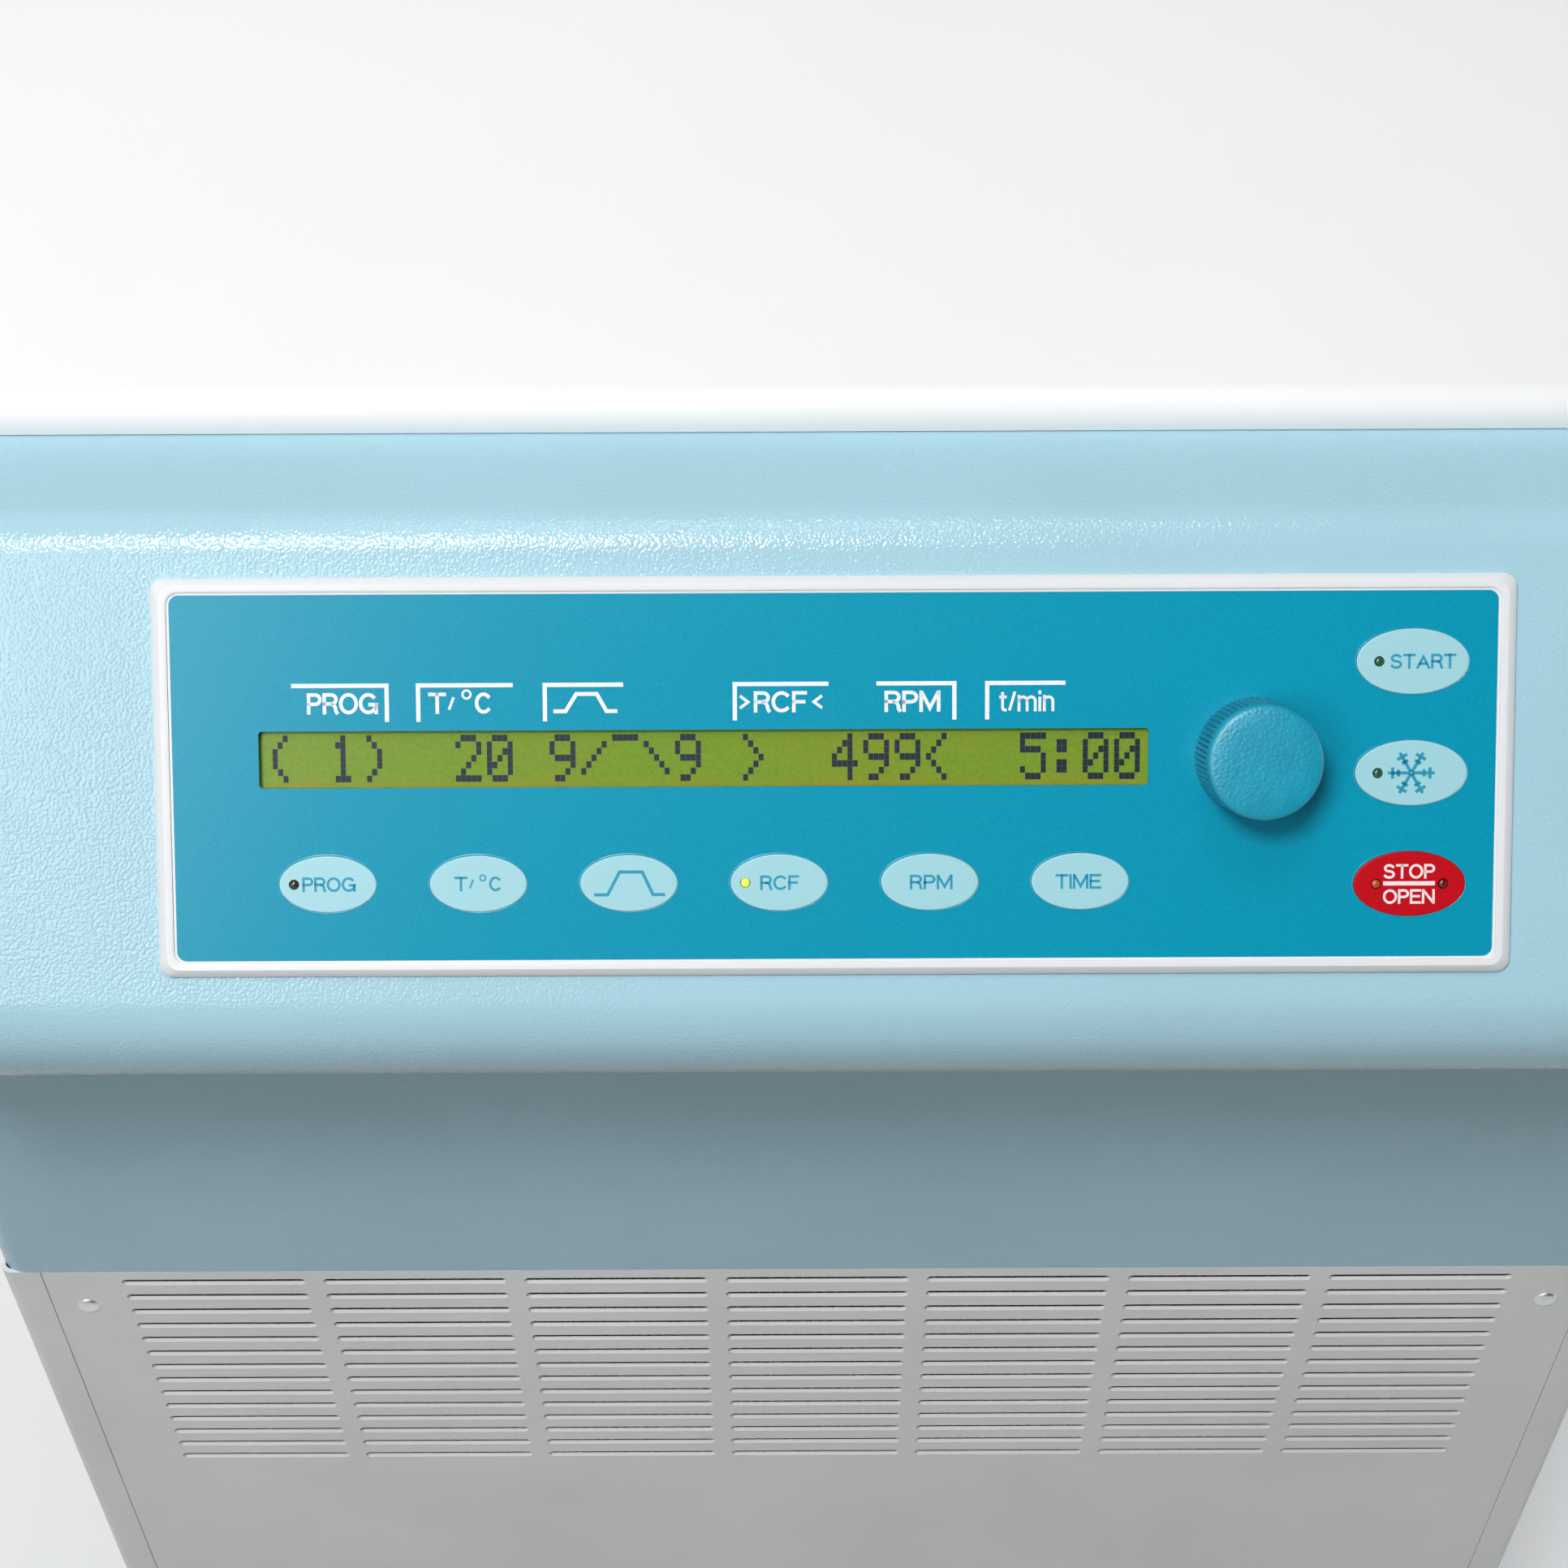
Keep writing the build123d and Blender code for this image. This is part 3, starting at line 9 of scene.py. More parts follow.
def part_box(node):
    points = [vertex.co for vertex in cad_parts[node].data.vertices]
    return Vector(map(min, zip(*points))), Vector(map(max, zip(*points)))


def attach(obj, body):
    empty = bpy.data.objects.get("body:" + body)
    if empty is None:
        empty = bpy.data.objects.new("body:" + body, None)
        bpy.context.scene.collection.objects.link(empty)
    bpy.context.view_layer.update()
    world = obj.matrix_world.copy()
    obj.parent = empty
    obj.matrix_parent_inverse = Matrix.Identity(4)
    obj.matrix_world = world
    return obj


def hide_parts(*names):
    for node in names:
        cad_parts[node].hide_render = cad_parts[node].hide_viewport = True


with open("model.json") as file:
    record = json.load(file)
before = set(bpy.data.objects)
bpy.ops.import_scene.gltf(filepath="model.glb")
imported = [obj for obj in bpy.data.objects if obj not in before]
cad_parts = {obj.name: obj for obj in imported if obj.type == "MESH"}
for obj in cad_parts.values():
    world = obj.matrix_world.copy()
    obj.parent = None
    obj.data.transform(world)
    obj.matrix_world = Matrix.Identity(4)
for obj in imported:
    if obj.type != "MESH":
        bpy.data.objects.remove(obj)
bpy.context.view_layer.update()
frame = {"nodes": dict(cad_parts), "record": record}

# ---------------------------------------------------------------- camera, floor and light
# The camera looks down on the control panel, nearly square to it. A ceiling panel and tube, a soft light
# above the front and one from the front left light the machine; two fills lift its right side and rear.

EYE = (-0.0106, -0.7842, 1.4098)
LOOK_DOWN = radians(49.57)
ROLL = radians(-0.25)
FRAME_PIXELS = 1932
FOCAL_PIXELS = 3458

SENSOR_WIDTH = 36.0


def new_object(name, data):
    """A new object in the scene."""
    made = bpy.data.objects.new(name, data)
    bpy.context.scene.collection.objects.link(made)
    return made


camera_data = bpy.data.cameras.new("camera")
camera_data.sensor_width = SENSOR_WIDTH
camera_data.lens = SENSOR_WIDTH * FOCAL_PIXELS / FRAME_PIXELS
camera = new_object("camera", camera_data)
camera.matrix_world = (Matrix.Translation(EYE) @ Matrix.Rotation(pi / 2 - LOOK_DOWN, 4, "X")
                       @ Matrix.Rotation(ROLL, 4, "Z"))
bpy.context.scene.camera = camera
bpy.context.scene.view_settings.view_transform = "Standard"


def lamp(name, place, aim, width, depth, watts, tint=(1.0, 1.0, 1.0)):
    data = bpy.data.lights.new(name, "AREA")
    data.shape = "RECTANGLE"
    data.size, data.size_y = width, depth
    data.energy = watts
    data.color = tint
    light = new_object(name, data)
    light.location = place
    light.rotation_euler = (Vector(aim) - Vector(place)).to_track_quat("-Z", "Y").to_euler()


lamp("ceiling_panel", (0, -0.30, 2.9), (0, -0.31, 0.9), 0.30, 0.45, 5)
lamp("ceiling_tube", (-0.45, -0.35, 2.9), (-0.1, -0.25, 0.9), 2.4, 0.10, 4, (1.0, 0.99, 0.98))
lamp("front_above", (-0.5, -1.2, 2.75), (0, -0.2, 0.8), 0.6, 0.45, 32, (1.0, 0.99, 0.97))
lamp("front_left", (-1.19, -2.12, 2.48), (-0.1, -0.3, 0.85), 1.0, 1.0, 21)
lamp("fill_right", (2.6, -0.3, 1.1), (0, 0, 0.6), 1.6, 1.4, 12, (0.96, 0.98, 1.0))
lamp("fill_rear", (0.8, 2.8, 1.2), (0, 0.3, 0.6), 2.0, 1.6, 24)


class Wiring:
    """Short calls that add nodes to a tree and wire them."""

    def __init__(self, tree):
        self.tree = tree

    def add(self, kind, feeds, out=0, **settings):
        """Adds a node, feeds its inputs with values or with other nodes' outputs, and gives an output."""
        made = self.tree.nodes.new(kind)
        for word, setting in settings.items():
            setattr(made, word, setting)
        for socket, value in feeds.items():
            for source in value if isinstance(value, list) else [value]:
                if isinstance(source, bpy.types.NodeSocket):
                    self.tree.links.new(source, made.inputs[socket])
                else:
                    made.inputs[socket].default_value = source
        return made.outputs[out] if len(made.outputs) else made

    def math(self, operation, first, second=0.0):
        return self.add("ShaderNodeMath", {0: first, 1: second}, operation=operation)

    def span(self, value, low_in, high_in, low, high):
        """Carries a number from one range to another."""
        return self.add("ShaderNodeMapRange", {"Value": value, "From Min": low_in, "From Max": high_in,
                                               "To Min": low, "To Max": high})

    def seen_by(self, *rays):
        """One for the named kinds of ray, zero for all others."""
        kinds = self.tree.nodes.new("ShaderNodeLightPath").outputs
        seen = kinds[f"Is {rays[0]} Ray"]
        for ray in rays[1:]:
            seen = self.math("MAXIMUM", seen, kinds[f"Is {ray} Ray"])
        return seen


# Camera rays and rays through glass see a pale backdrop. Mirrored rays see pale walls that grow dimmer to
# the right. All other rays get only the dim air.
AIR, AIR_LEVEL = (0.95, 0.97, 0.98, 1), 0.12
WALL, WALL_LEFT, WALL_RIGHT = (0.93, 0.94, 0.95, 1), 0.92, 0.15
BACKDROP, BACKDROP_LEVEL = (0.95, 0.96, 0.97, 1), 0.92
THROWN_BACK = (0.07, 0.07, 0.07, 1)
PALE_FROM, PALE_TO = 0.8, 4.5
FLOOR_HALF = 8
world = bpy.data.worlds.new("room")
world.use_nodes = True
world.node_tree.nodes.clear()
bpy.context.scene.world = world
room = Wiring(world.node_tree)
way = room.add("ShaderNodeSeparateXYZ", {"Vector": room.add("ShaderNodeTexCoord", {})})
wall_level = room.span(way, -0.45, 0.25, WALL_LEFT, WALL_RIGHT)
air, wall, backdrop = (room.add("ShaderNodeBackground", {"Color": tint, "Strength": level}) for tint, level in
                       ((AIR, AIR_LEVEL), (WALL, wall_level), (BACKDROP, BACKDROP_LEVEL)))
mirrored = room.add("ShaderNodeMixShader", {0: room.seen_by("Glossy"), 1: air, 2: wall})
shown = room.add("ShaderNodeMixShader", {0: room.seen_by("Camera", "Transmission"), 1: mirrored, 2: backdrop})
room.add("ShaderNodeOutputWorld", {"Surface": shown})

floor_mesh = bpy.data.meshes.new("floor")
floor_mesh.from_pydata([(x * FLOOR_HALF, y * FLOOR_HALF, 0) for x, y in ((-1, -1), (1, -1), (1, 1), (-1, 1))],
                       [], [(0, 1, 2, 3)])
floor = new_object("floor", floor_mesh)


# ---------------------------------------------------------------- chassis
# The chassis is a welded steel frame: a base plate with a folded rim, four posts and the thick shelf
# that carries the chamber. It is primed grey, with the slight unevenness of a dipped coat.

class Finish(Wiring):
    """A node material: a Principled shader with colour and relief wired into it."""

    def __init__(self, name, colour, roughness, metallic=0.0, specular=0.5):
        self.material = bpy.data.materials.new(name)
        self.material.use_nodes = True
        self.material.diffuse_color = (*colour, 1)
        super().__init__(self.material.node_tree)
        self.shader = self.tree.nodes["Principled BSDF"]
        self.place = self.add("ShaderNodeTexCoord", {}, "Object")
        self.set({"Base Color": (*colour, 1), "Roughness": roughness, "Metallic": metallic,
                  "Specular IOR Level": specular})
        self.bumps = None

    def set(self, values):
        for socket, value in values.items():
            self.shader.inputs[socket].default_value = value

    def feed(self, socket, source):
        self.tree.links.new(source, self.shader.inputs[socket])

    def stretched(self, scale, turn=(0, 0, 0), shift=(0, 0, 0)):
        """Object coordinates, scaled and turned."""
        return self.add("ShaderNodeMapping", {"Vector": self.place, "Scale": scale, "Rotation": turn,
                                              "Location": shift})

    def reach(self, vector):
        return self.add("ShaderNodeVectorMath", {0: vector}, "Value", operation="LENGTH")

    def noise(self, grain_mm, detail=2.0, rough=0.5, vector=None):
        """Cloudy noise whose features are about grain_mm across."""
        return self.add("ShaderNodeTexNoise", {"Vector": vector or self.place, "Scale": 1000.0 / grain_mm,
                                               "Detail": detail, "Roughness": rough})

    def pebbles(self, grain_mm, smooth):
        """Rounded cells about grain_mm across, high in their middles."""
        return self.add("ShaderNodeTexVoronoi", {"Vector": self.place, "Scale": 1000.0 / grain_mm,
                                                 "Smoothness": smooth}, feature="SMOOTH_F1")

    def blend(self, value, colour_low, colour_high, low=0.35, high=0.65):
        """Colour that runs from one tint to the other with a value."""
        colour = self.add("ShaderNodeValToRGB", {"Fac": value})
        ends = colour.node.color_ramp.elements
        ends[0].position, ends[1].position = low, high
        ends[0].color, ends[1].color = (*colour_low, 1), (*colour_high, 1)
        return colour

    def between(self, share, first, second):
        """Mixes two colours by a share."""
        return self.add("ShaderNodeMix", {"Factor": share, 6: first, 7: second}, 2, data_type="RGBA")

    def shine(self, value, low, high):
        self.feed("Roughness", self.span(value, 0.3, 0.7, low, high))

    def relief(self, height, depth_mm, strength=1.0):
        """Adds bumps depth_mm high to those already there."""
        feeds = {"Height": height, "Distance": depth_mm / 1000.0, "Strength": strength}
        if self.bumps is not None:
            feeds["Normal"] = self.bumps
        self.bumps = self.add("ShaderNodeBump", feeds)
        self.feed("Normal", self.bumps)


def shade(colour, factor):
    return tuple(min(1.0, c * factor) for c in colour)


def finished(name, colour, roughness, cloud, tones, gloss=(), pebbles=(), grains=(), metallic=0.0,
             specular=0.5):
    """A finish whose colour drifts between two tones with a cloud, with its own gloss drift and reliefs.

    cloud is grain in mm and detail; gloss adds how far roughness drifts down and up; each of pebbles and
    grains is grain in mm, smoothness or detail, depth in mm and strength.
    """
    finish = Finish(name, colour, roughness, metallic, specular)
    field = finish.noise(*cloud)
    finish.feed("Base Color", finish.blend(field, shade(colour, tones[0]), shade(colour, tones[1])))
    if gloss:
        grain_mm, detail, below, above = gloss
        finish.shine(finish.noise(grain_mm, detail), roughness - below, roughness + above)
    for grain_mm, smooth, depth_mm, strength in pebbles:
        finish.relief(finish.pebbles(grain_mm, smooth), -depth_mm, strength)
    for grain_mm, detail, depth_mm, strength in grains:
        finish.relief(finish.noise(grain_mm, detail), depth_mm, strength)
    return finish.material


def coated(name, colour, roughness, grain_mm, depth_mm):
    """Sprayed or dipped paint: a little orange peel and a faint drift of tone."""
    return finished(name, colour, roughness, (90, 3), (0.96, 1.03), (14, 3, 0.04, 0.06),
                    grains=[(grain_mm, 1, depth_mm, 1)])


def floor_finish():
    """Pale vinyl; it throws back less light than it shows, so that the machine's underside stays in shade."""
    finish = Finish("floor_vinyl", (0.80, 0.81, 0.82), 0.55)
    vinyl = finish.blend(finish.noise(300, 4), (0.79, 0.80, 0.81), (0.82, 0.83, 0.84))
    seen = finish.seen_by("Camera", "Glossy", "Transmission")
    finish.feed("Base Color", finish.between(seen, THROWN_BACK, vinyl))
    # Farther off, the floor pales into the backdrop.
    finish.set({"Emission Color": (0.95, 0.97, 1.0, 1)})
    pale = finish.span(finish.reach(finish.place), PALE_FROM, PALE_TO, 0.22, 0.80)
    finish.feed("Emission Strength", finish.math("MULTIPLY", pale, seen))
    return finish.material


floor_mesh.materials.append(floor_finish())
primer = coated("grey_primer", (0.27, 0.29, 0.31), 0.55, 1.4, 0.03)

chassis = frame["nodes"]["chassis_frame"].data
chassis.materials.clear()
chassis.materials.append(primer)


# ---------------------------------------------------------------- casters
# Four pressed steel casters carry the machine: the front pair swivels on kingpins, the rear pair is
# fixed. Each wheel is a grey nylon hub with a black rubber tread, on an axle riveted at both ends.

bodies_of_record = frame["record"]["behaviour"]["bodies"]


def body_of_node(node):
    return next(body for body, nodes in bodies_of_record.items() if node in nodes)


def middle_of(node):
    """The middle of a CAD node's box."""
    return [(a + b) / 2 for a, b in zip(*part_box(node))]


def piece_of(name, mesh, body, slot, *finishes, replaces=()):
    """A new piece on a body: its mesh, its finishes and the CAD nodes that it stands for."""
    made = new_object(name, mesh)
    for finish in finishes:
        mesh.materials.append(finish)
    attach(made, body)
    if replaces:
        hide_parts(*replaces)
    return made


def baked(holder):
    """The evaluated mesh of an object, with its modifiers applied; the holder is removed."""
    graph = bpy.context.evaluated_depsgraph_get()
    mesh = bpy.data.meshes.new_from_object(holder.evaluated_get(graph), depsgraph=graph)
    bpy.data.objects.remove(holder)
    return mesh


def creased(mesh, angle=radians(30)):
    """Smooth shading with hard edges where two faces meet at more than the angle."""
    shape = bmesh.new()
    shape.from_mesh(mesh)
    bmesh.ops.remove_doubles(shape, verts=shape.verts, dist=2e-6)
    bmesh.ops.dissolve_degenerate(shape, edges=shape.edges, dist=1e-7)
    for face in shape.faces:
        face.smooth = True
    for edge in shape.edges:
        edge.smooth = len(edge.link_faces) == 2 and edge.calc_face_angle(0) < angle
    shape.to_mesh(mesh)
    shape.free()
    return mesh


def weighted(mesh):
    """Normals that lean to the larger faces, so flat panels stay flat beside their rounded edges."""
    holder = new_object("shading", mesh)
    lean = holder.modifiers.new("lean", "WEIGHTED_NORMAL")
    lean.keep_sharp = True
    lean.weight = 100
    return baked(holder)


def smoothed(node, finish, slot, angle=radians(30)):
    """The CAD node's own shape with smooth shading, standing for the node."""
    mesh = weighted(creased(frame["nodes"][node].data.copy(), angle))
    mesh.materials.clear()
    return piece_of(f"{node}_skin", mesh, body_of_node(node), slot, finish, replaces=(node,))


def mesh_of(shape, name):
    """The mesh of a bmesh, which is freed."""
    mesh = bpy.data.meshes.new(name)
    shape.to_mesh(mesh)
    shape.free()
    return mesh


def lofted(rings, name, wrap=False, caps=False):
    """A mesh through rings of points; wrap joins the last ring to the first, caps closes the two ends."""
    shape = bmesh.new()
    made = [[shape.verts.new(spot) for spot in ring] for ring in rings]
    for here, there in zip(made, made[1:] + made[:1] if wrap else made[1:]):
        for j, corner in enumerate(here):
            k = (j + 1) % len(here)
            shape.faces.new((corner, there[j], there[k], here[k]))
    if caps:
        shape.faces.new(made[0])
        shape.faces.new(made[-1])
    bmesh.ops.remove_doubles(shape, verts=shape.verts, dist=1e-7)
    bmesh.ops.dissolve_degenerate(shape, edges=shape.edges, dist=1e-8)
    bmesh.ops.recalc_face_normals(shape, faces=shape.faces)
    return mesh_of(shape, name)


def spun(profile, steps, place, axis="Z"):
    """Closed solid of revolution from (radius, height) points, round an axis through a place."""
    angles = [2 * pi * i / steps for i in range(steps)]
    mesh = lofted([[(r * cos(a), r * sin(a), h) for r, h in profile] for a in angles], "spun", wrap=True)
    turn = Matrix.Rotation(pi / 2, 4, "Y") if axis == "X" else Matrix()
    mesh.transform(Matrix.Translation(place) @ turn)
    return creased(mesh)


def joined(*meshes, one_finish=False):
    """One mesh from several, which take the material slots in turn, or all the first."""
    shape = bmesh.new()
    for number, mesh in enumerate(meshes):
        first = len(shape.faces)
        shape.from_mesh(mesh)
        shape.faces.ensure_lookup_table()
        for face in shape.faces[first:]:
            face.material_index = 0 if one_finish else number
    return mesh_of(shape, "joined")


def zinc_plate():
    finish = Finish("zinc_plate", (0.58, 0.59, 0.60), 0.36, 1.0)
    finish.feed("Base Color", finish.blend(finish.noise(12, 4), (0.50, 0.51, 0.53), (0.66, 0.66, 0.65)))
    finish.shine(finish.noise(5, 3), 0.28, 0.46)
    finish.relief(finish.noise(1.2, 2), 0.01)
    return finish.material


def rubber(name, colour=(0.022, 0.022, 0.024), roughness=0.72):
    return finished(name, colour, roughness, (20, 4), (1, 1.9), grains=[(0.8, 3, 0.02, 1)], specular=0.35)


zinc = zinc_plate()
tread_rubber = rubber("tread_rubber")
grey_nylon = coated("grey_nylon", (0.33, 0.34, 0.35), 0.45, 0.9, 0.01)
for fork in ("front_caster_left", "front_caster_right", "rear_caster_forks"):
    smoothed(fork, zinc, "zinc_steel")

TREAD_R = 0.030
TREAD_HALF = 0.0125
HUB_R = 0.0225
HUB_HALF = 0.0155
HUB_BORE = 0.00415
TREAD_ROUND = 0.006


def both_halves(half):
    """A profile from one half, which is mirrored about height zero."""
    return half + [(r, -h) for r, h in reversed(half)]


half_tread = [(HUB_R, -TREAD_HALF + 0.001), (HUB_R + 0.003, -TREAD_HALF)]
half_tread += [(TREAD_R - TREAD_ROUND + TREAD_ROUND * sin(a),
                -TREAD_HALF + TREAD_ROUND - TREAD_ROUND * cos(a))
               for a in (radians(d) for d in (0, 20, 40, 60, 80))]
half_tread += [(TREAD_R, -0.005)]
half_hub = [(HUB_BORE, -HUB_HALF), (0.0085, -HUB_HALF), (0.0092, -HUB_HALF + 0.0006), (0.0095, -0.0075),
            (0.011, -0.0055), (0.0185, -0.0055), (0.0198, -0.0072), (0.0202, -0.0108), (0.021, -0.0117),
            (HUB_R + 0.0002, -0.0115)]
tread_profile, hub_profile = both_halves(half_tread), both_halves(half_hub)

for wheel in ("front_wheel_left", "front_wheel_right", "rear_wheel_left", "rear_wheel_right"):
    middle = middle_of(wheel)
    wheel_mesh = joined(spun(tread_profile, 64, middle, "X"), spun(hub_profile, 48, middle, "X"))
    piece_of(f"{wheel}_tread_and_hub", wheel_mesh, wheel, "tread_rubber", tread_rubber, grey_nylon,
             replaces=(wheel,))


# ---------------------------------------------------------------- refrigeration plant
# A hermetic compressor and a finned condenser stand on the base plate behind the front panel. The
# condenser is copper pipe pushed through thin aluminium fins, with its bends brazed on at both sides.

COMPRESSOR_BLACK = (0.018, 0.018, 0.020)
FIN_ALUMINIUM = (0.60, 0.61, 0.62)
PIPE_COPPER = (0.64, 0.30, 0.18)
FIN_PITCH = 0.0042
FIN_THICK = 0.0005
PIPE_R = 0.0048
PIPE_RISE = 0.025
PLATE_T = 0.002
# The fins' wave turns by this many radians in each metre.
WAVE_TURN = 500.0
CORE_TALL = 0.230
BEND_IN = 0.012


def cast_paint(name, colour, roughness, grain_mm, depth_mm):
    """Thick enamel over a casting or a drawn shell, with slight runs."""
    return finished(name, colour, roughness, (35, 4), (0.8, 1.35), (8, 3, 0.06, 0.12),
                    grains=[(grain_mm, 3, depth_mm, 1)])


def streaked(name, colour, roughness, streak_mm, tones, vector_of):
    """Metal with fine marks, drawn out by the coordinates that vector_of gives for the finish."""
    finish = Finish(name, colour, roughness, 1.0)
    marks = finish.noise(streak_mm, 4, 0.6, vector_of(finish))
    finish.feed("Base Color", finish.blend(marks, shade(colour, tones[0]), shade(colour, tones[1])))
    finish.relief(marks, 0.006)
    return finish


def bare_metal(name, colour, roughness, streak=(1.0, 1.0, 1.0)):
    """Bare drawn or turned metal with fine streaks along one way."""
    finish = streaked(name, colour, roughness, 1.5, (0.88, 1.08), lambda made: made.stretched(streak))
    finish.shine(finish.noise(14, 3), roughness - 0.05, roughness + 0.08)
    return finish.material


black_nylon = coated("black_glass_filled_nylon", (0.022, 0.022, 0.024), 0.42, 1.2, 0.02)
copper = bare_metal("copper", PIPE_COPPER, 0.30, (0.2, 1, 1))
fin_stock = bare_metal("aluminium_fin_stock", FIN_ALUMINIUM, 0.34, (1, 1, 0.2))
smoothed("compressor", cast_paint("compressor_enamel", COMPRESSOR_BLACK, 0.30, 3.0, 0.04), "motor_black")
smoothed("fan_shroud", black_nylon, "fan_black")
smoothed("condenser_fan", black_nylon, "fan_black")


def box_faces(shape, low, high):
    """Adds a closed box to a bmesh."""
    corners = [shape.verts.new((x, y, z)) for z in (low[2], high[2]) for y in (low[1], high[1])
               for x in (low[0], high[0])]
    for loop in ((0, 2, 3, 1), (4, 5, 7, 6), (0, 1, 5, 4), (2, 6, 7, 3), (0, 4, 6, 2), (1, 3, 7, 5)):
        shape.faces.new([corners[i] for i in loop])


class Growth(Wiring):
    """A Geometry Nodes tree that sets one shape on each point, made real and given its finish."""

    def __init__(self, name, **sockets):
        super().__init__(bpy.data.node_groups.new(name, "GeometryNodeTree"))
        self.tree.interface.new_socket("Geometry", in_out="OUTPUT", socket_type="NodeSocketGeometry")
        for word, kind in {"Geometry": "Geometry", **sockets, "Finish": "Material"}.items():
            self.tree.interface.new_socket(word, in_out="INPUT", socket_type=f"NodeSocket{kind}")
        self.given = self.tree.nodes.new("NodeGroupInput").outputs

    def scatter(self, shape, **extra):
        spread = self.add("GeometryNodeInstanceOnPoints",
                          {"Points": self.given["Geometry"], "Instance": shape, **extra})
        real = self.add("GeometryNodeRealizeInstances", {"Geometry": spread})
        coloured = self.add("GeometryNodeSetMaterial", {"Geometry": real, "Material": self.given["Finish"]})
        self.add("NodeGroupOutput", {"Geometry": coloured})
        return self.tree


def grown(name, tree, points, inputs, body, slot, place=Matrix()):
    """A piece on a body, grown by a Geometry Nodes tree on points and then moved to its place."""
    cloud = bpy.data.meshes.new(name)
    cloud.from_pydata(points, [], [])
    holder = new_object(f"{name}_points", cloud)
    growth = holder.modifiers.new("growth", "NODES")
    growth.node_group = tree
    identifier = {item.name: item.identifier for item in tree.interface.items_tree
                  if item.item_type == "SOCKET" and item.in_out == "INPUT"}
    for word, value in inputs.items():
        growth[identifier[word]] = value
    mesh = baked(holder)
    mesh.name = name
    mesh = creased(mesh)
    mesh.transform(place)
    return piece_of(name, mesh, body, slot)


def fin_tree():
    """Thin sheets, with a shallow wave pressed along their length."""
    fin = Growth("condenser_fins", **{"Fin size": "Vector", "Wave depth": "Float"})
    sheet = fin.add("GeometryNodeMeshCube", {"Size": fin.given["Fin size"], "Vertices Y": 7})
    along = fin.add("ShaderNodeSeparateXYZ", {"Vector": fin.add("GeometryNodeInputPosition", {})}, "Y")
    wave = fin.math("SINE", fin.math("MULTIPLY", along, WAVE_TURN))
    push = fin.add("ShaderNodeCombineXYZ", {"X": fin.math("MULTIPLY", wave, fin.given["Wave depth"])})
    return fin.scatter(fin.add("GeometryNodeSetPosition", {"Geometry": sheet, "Offset": push}))


core_low, core_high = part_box("condenser")
core_x = core_high[0] - PLATE_T
core_z_low = core_high[2] - CORE_TALL
fin_count = int(2 * core_x / FIN_PITCH)
fin_y = (core_low[1] + core_high[1]) / 2
fin_z = (core_z_low + core_high[2]) / 2
fin_points = [((i - (fin_count - 1) / 2) * FIN_PITCH, fin_y, fin_z) for i in range(fin_count)]
grown("condenser_fins", fin_tree(), fin_points,
      {"Fin size": (FIN_THICK, core_high[1] - core_low[1] - 0.002, core_high[2] - core_z_low - 0.001),
       "Wave depth": 0.0006, "Finish": fin_stock}, "cabinet", "frame_steel")

side_shape = bmesh.new()
for side in (-1, 1):
    inner, outer = sorted((side * core_x, side * core_high[0]))
    box_faces(side_shape, (inner, core_low[1], core_low[2]), (outer, core_high[1], core_high[2]))
piece_of("condenser_side_plates", mesh_of(side_shape, "condenser_side_plates"), "cabinet", "frame_steel",
         zinc, replaces=("condenser",))

pipe_rows = int((core_high[2] - core_z_low - PIPE_RISE) / PIPE_RISE) + 1
bend_r = PIPE_RISE / 2
pipe_end = core_x - BEND_IN
coil_points = []
for row in range(pipe_rows):
    z = core_z_low + PIPE_RISE * (row + 0.5)
    side = 1 if row % 2 == 0 else -1
    coil_points += [(-side * pipe_end, fin_y, z), (side * pipe_end, fin_y, z)]
    if row < pipe_rows - 1:
        coil_points += [(side * (pipe_end + 0.45 * bend_r * sin(radians(a))), fin_y,
                         z + bend_r - bend_r * cos(radians(a))) for a in range(15, 180, 15)]
line = bpy.data.curves.new("condenser_pipe", "CURVE")
line.dimensions = "3D"
line.bevel_depth = PIPE_R
line.bevel_resolution = 4
line.use_fill_caps = True
run = line.splines.new("POLY")
run.points.add(len(coil_points) - 1)
for knot, spot in zip(run.points, coil_points):
    knot.co = (*spot, 1)
pipe_mesh = baked(new_object("condenser_pipe_line", line))
piece_of("condenser_pipe", creased(pipe_mesh, radians(50)), "cabinet", "copper", copper)


# ---------------------------------------------------------------- motor and shaft
# The induction motor has a ribbed aluminium casing painted black and hangs under the shelf on four
# bonded rubber dampers. Its ground steel shaft comes up through the chamber floor.

DAMPER_R = 0.015

smoothed("motor", cast_paint("motor_enamel", (0.035, 0.036, 0.038), 0.42, 1.8, 0.08), "motor_black")
ground_steel = bare_metal("ground_steel", (0.60, 0.60, 0.61), 0.22, (1, 1, 4))
smoothed("drive_shaft", ground_steel, "rotor_alloy")

damper_rubber = rubber("damper_rubber", (0.016, 0.016, 0.017), 0.62)
damper_waist = [(0, -0.5), (0.84, -0.5), (0.98, -0.46), (1.0, -0.4), (0.88, -0.2), (0.84, 0), (0.88, 0.2),
                (1.0, 0.4), (0.98, 0.46), (0.84, 0.5), (0, 0.5)]
damper_low, damper_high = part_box("motor_dampers")
damper_profile = [(r * DAMPER_R, h * (damper_high[2] - damper_low[2])) for r, h in damper_waist]
damper_meshes = [spun(damper_profile, 40, (x, y, (damper_low[2] + damper_high[2]) / 2))
                 for x in (damper_low[0] + DAMPER_R, damper_high[0] - DAMPER_R)
                 for y in (damper_low[1] + DAMPER_R, damper_high[1] - DAMPER_R)]
piece_of("rubber_dampers", joined(*damper_meshes, one_finish=True), "cabinet", "gasket_rubber", damper_rubber,
         replaces=("motor_dampers",))


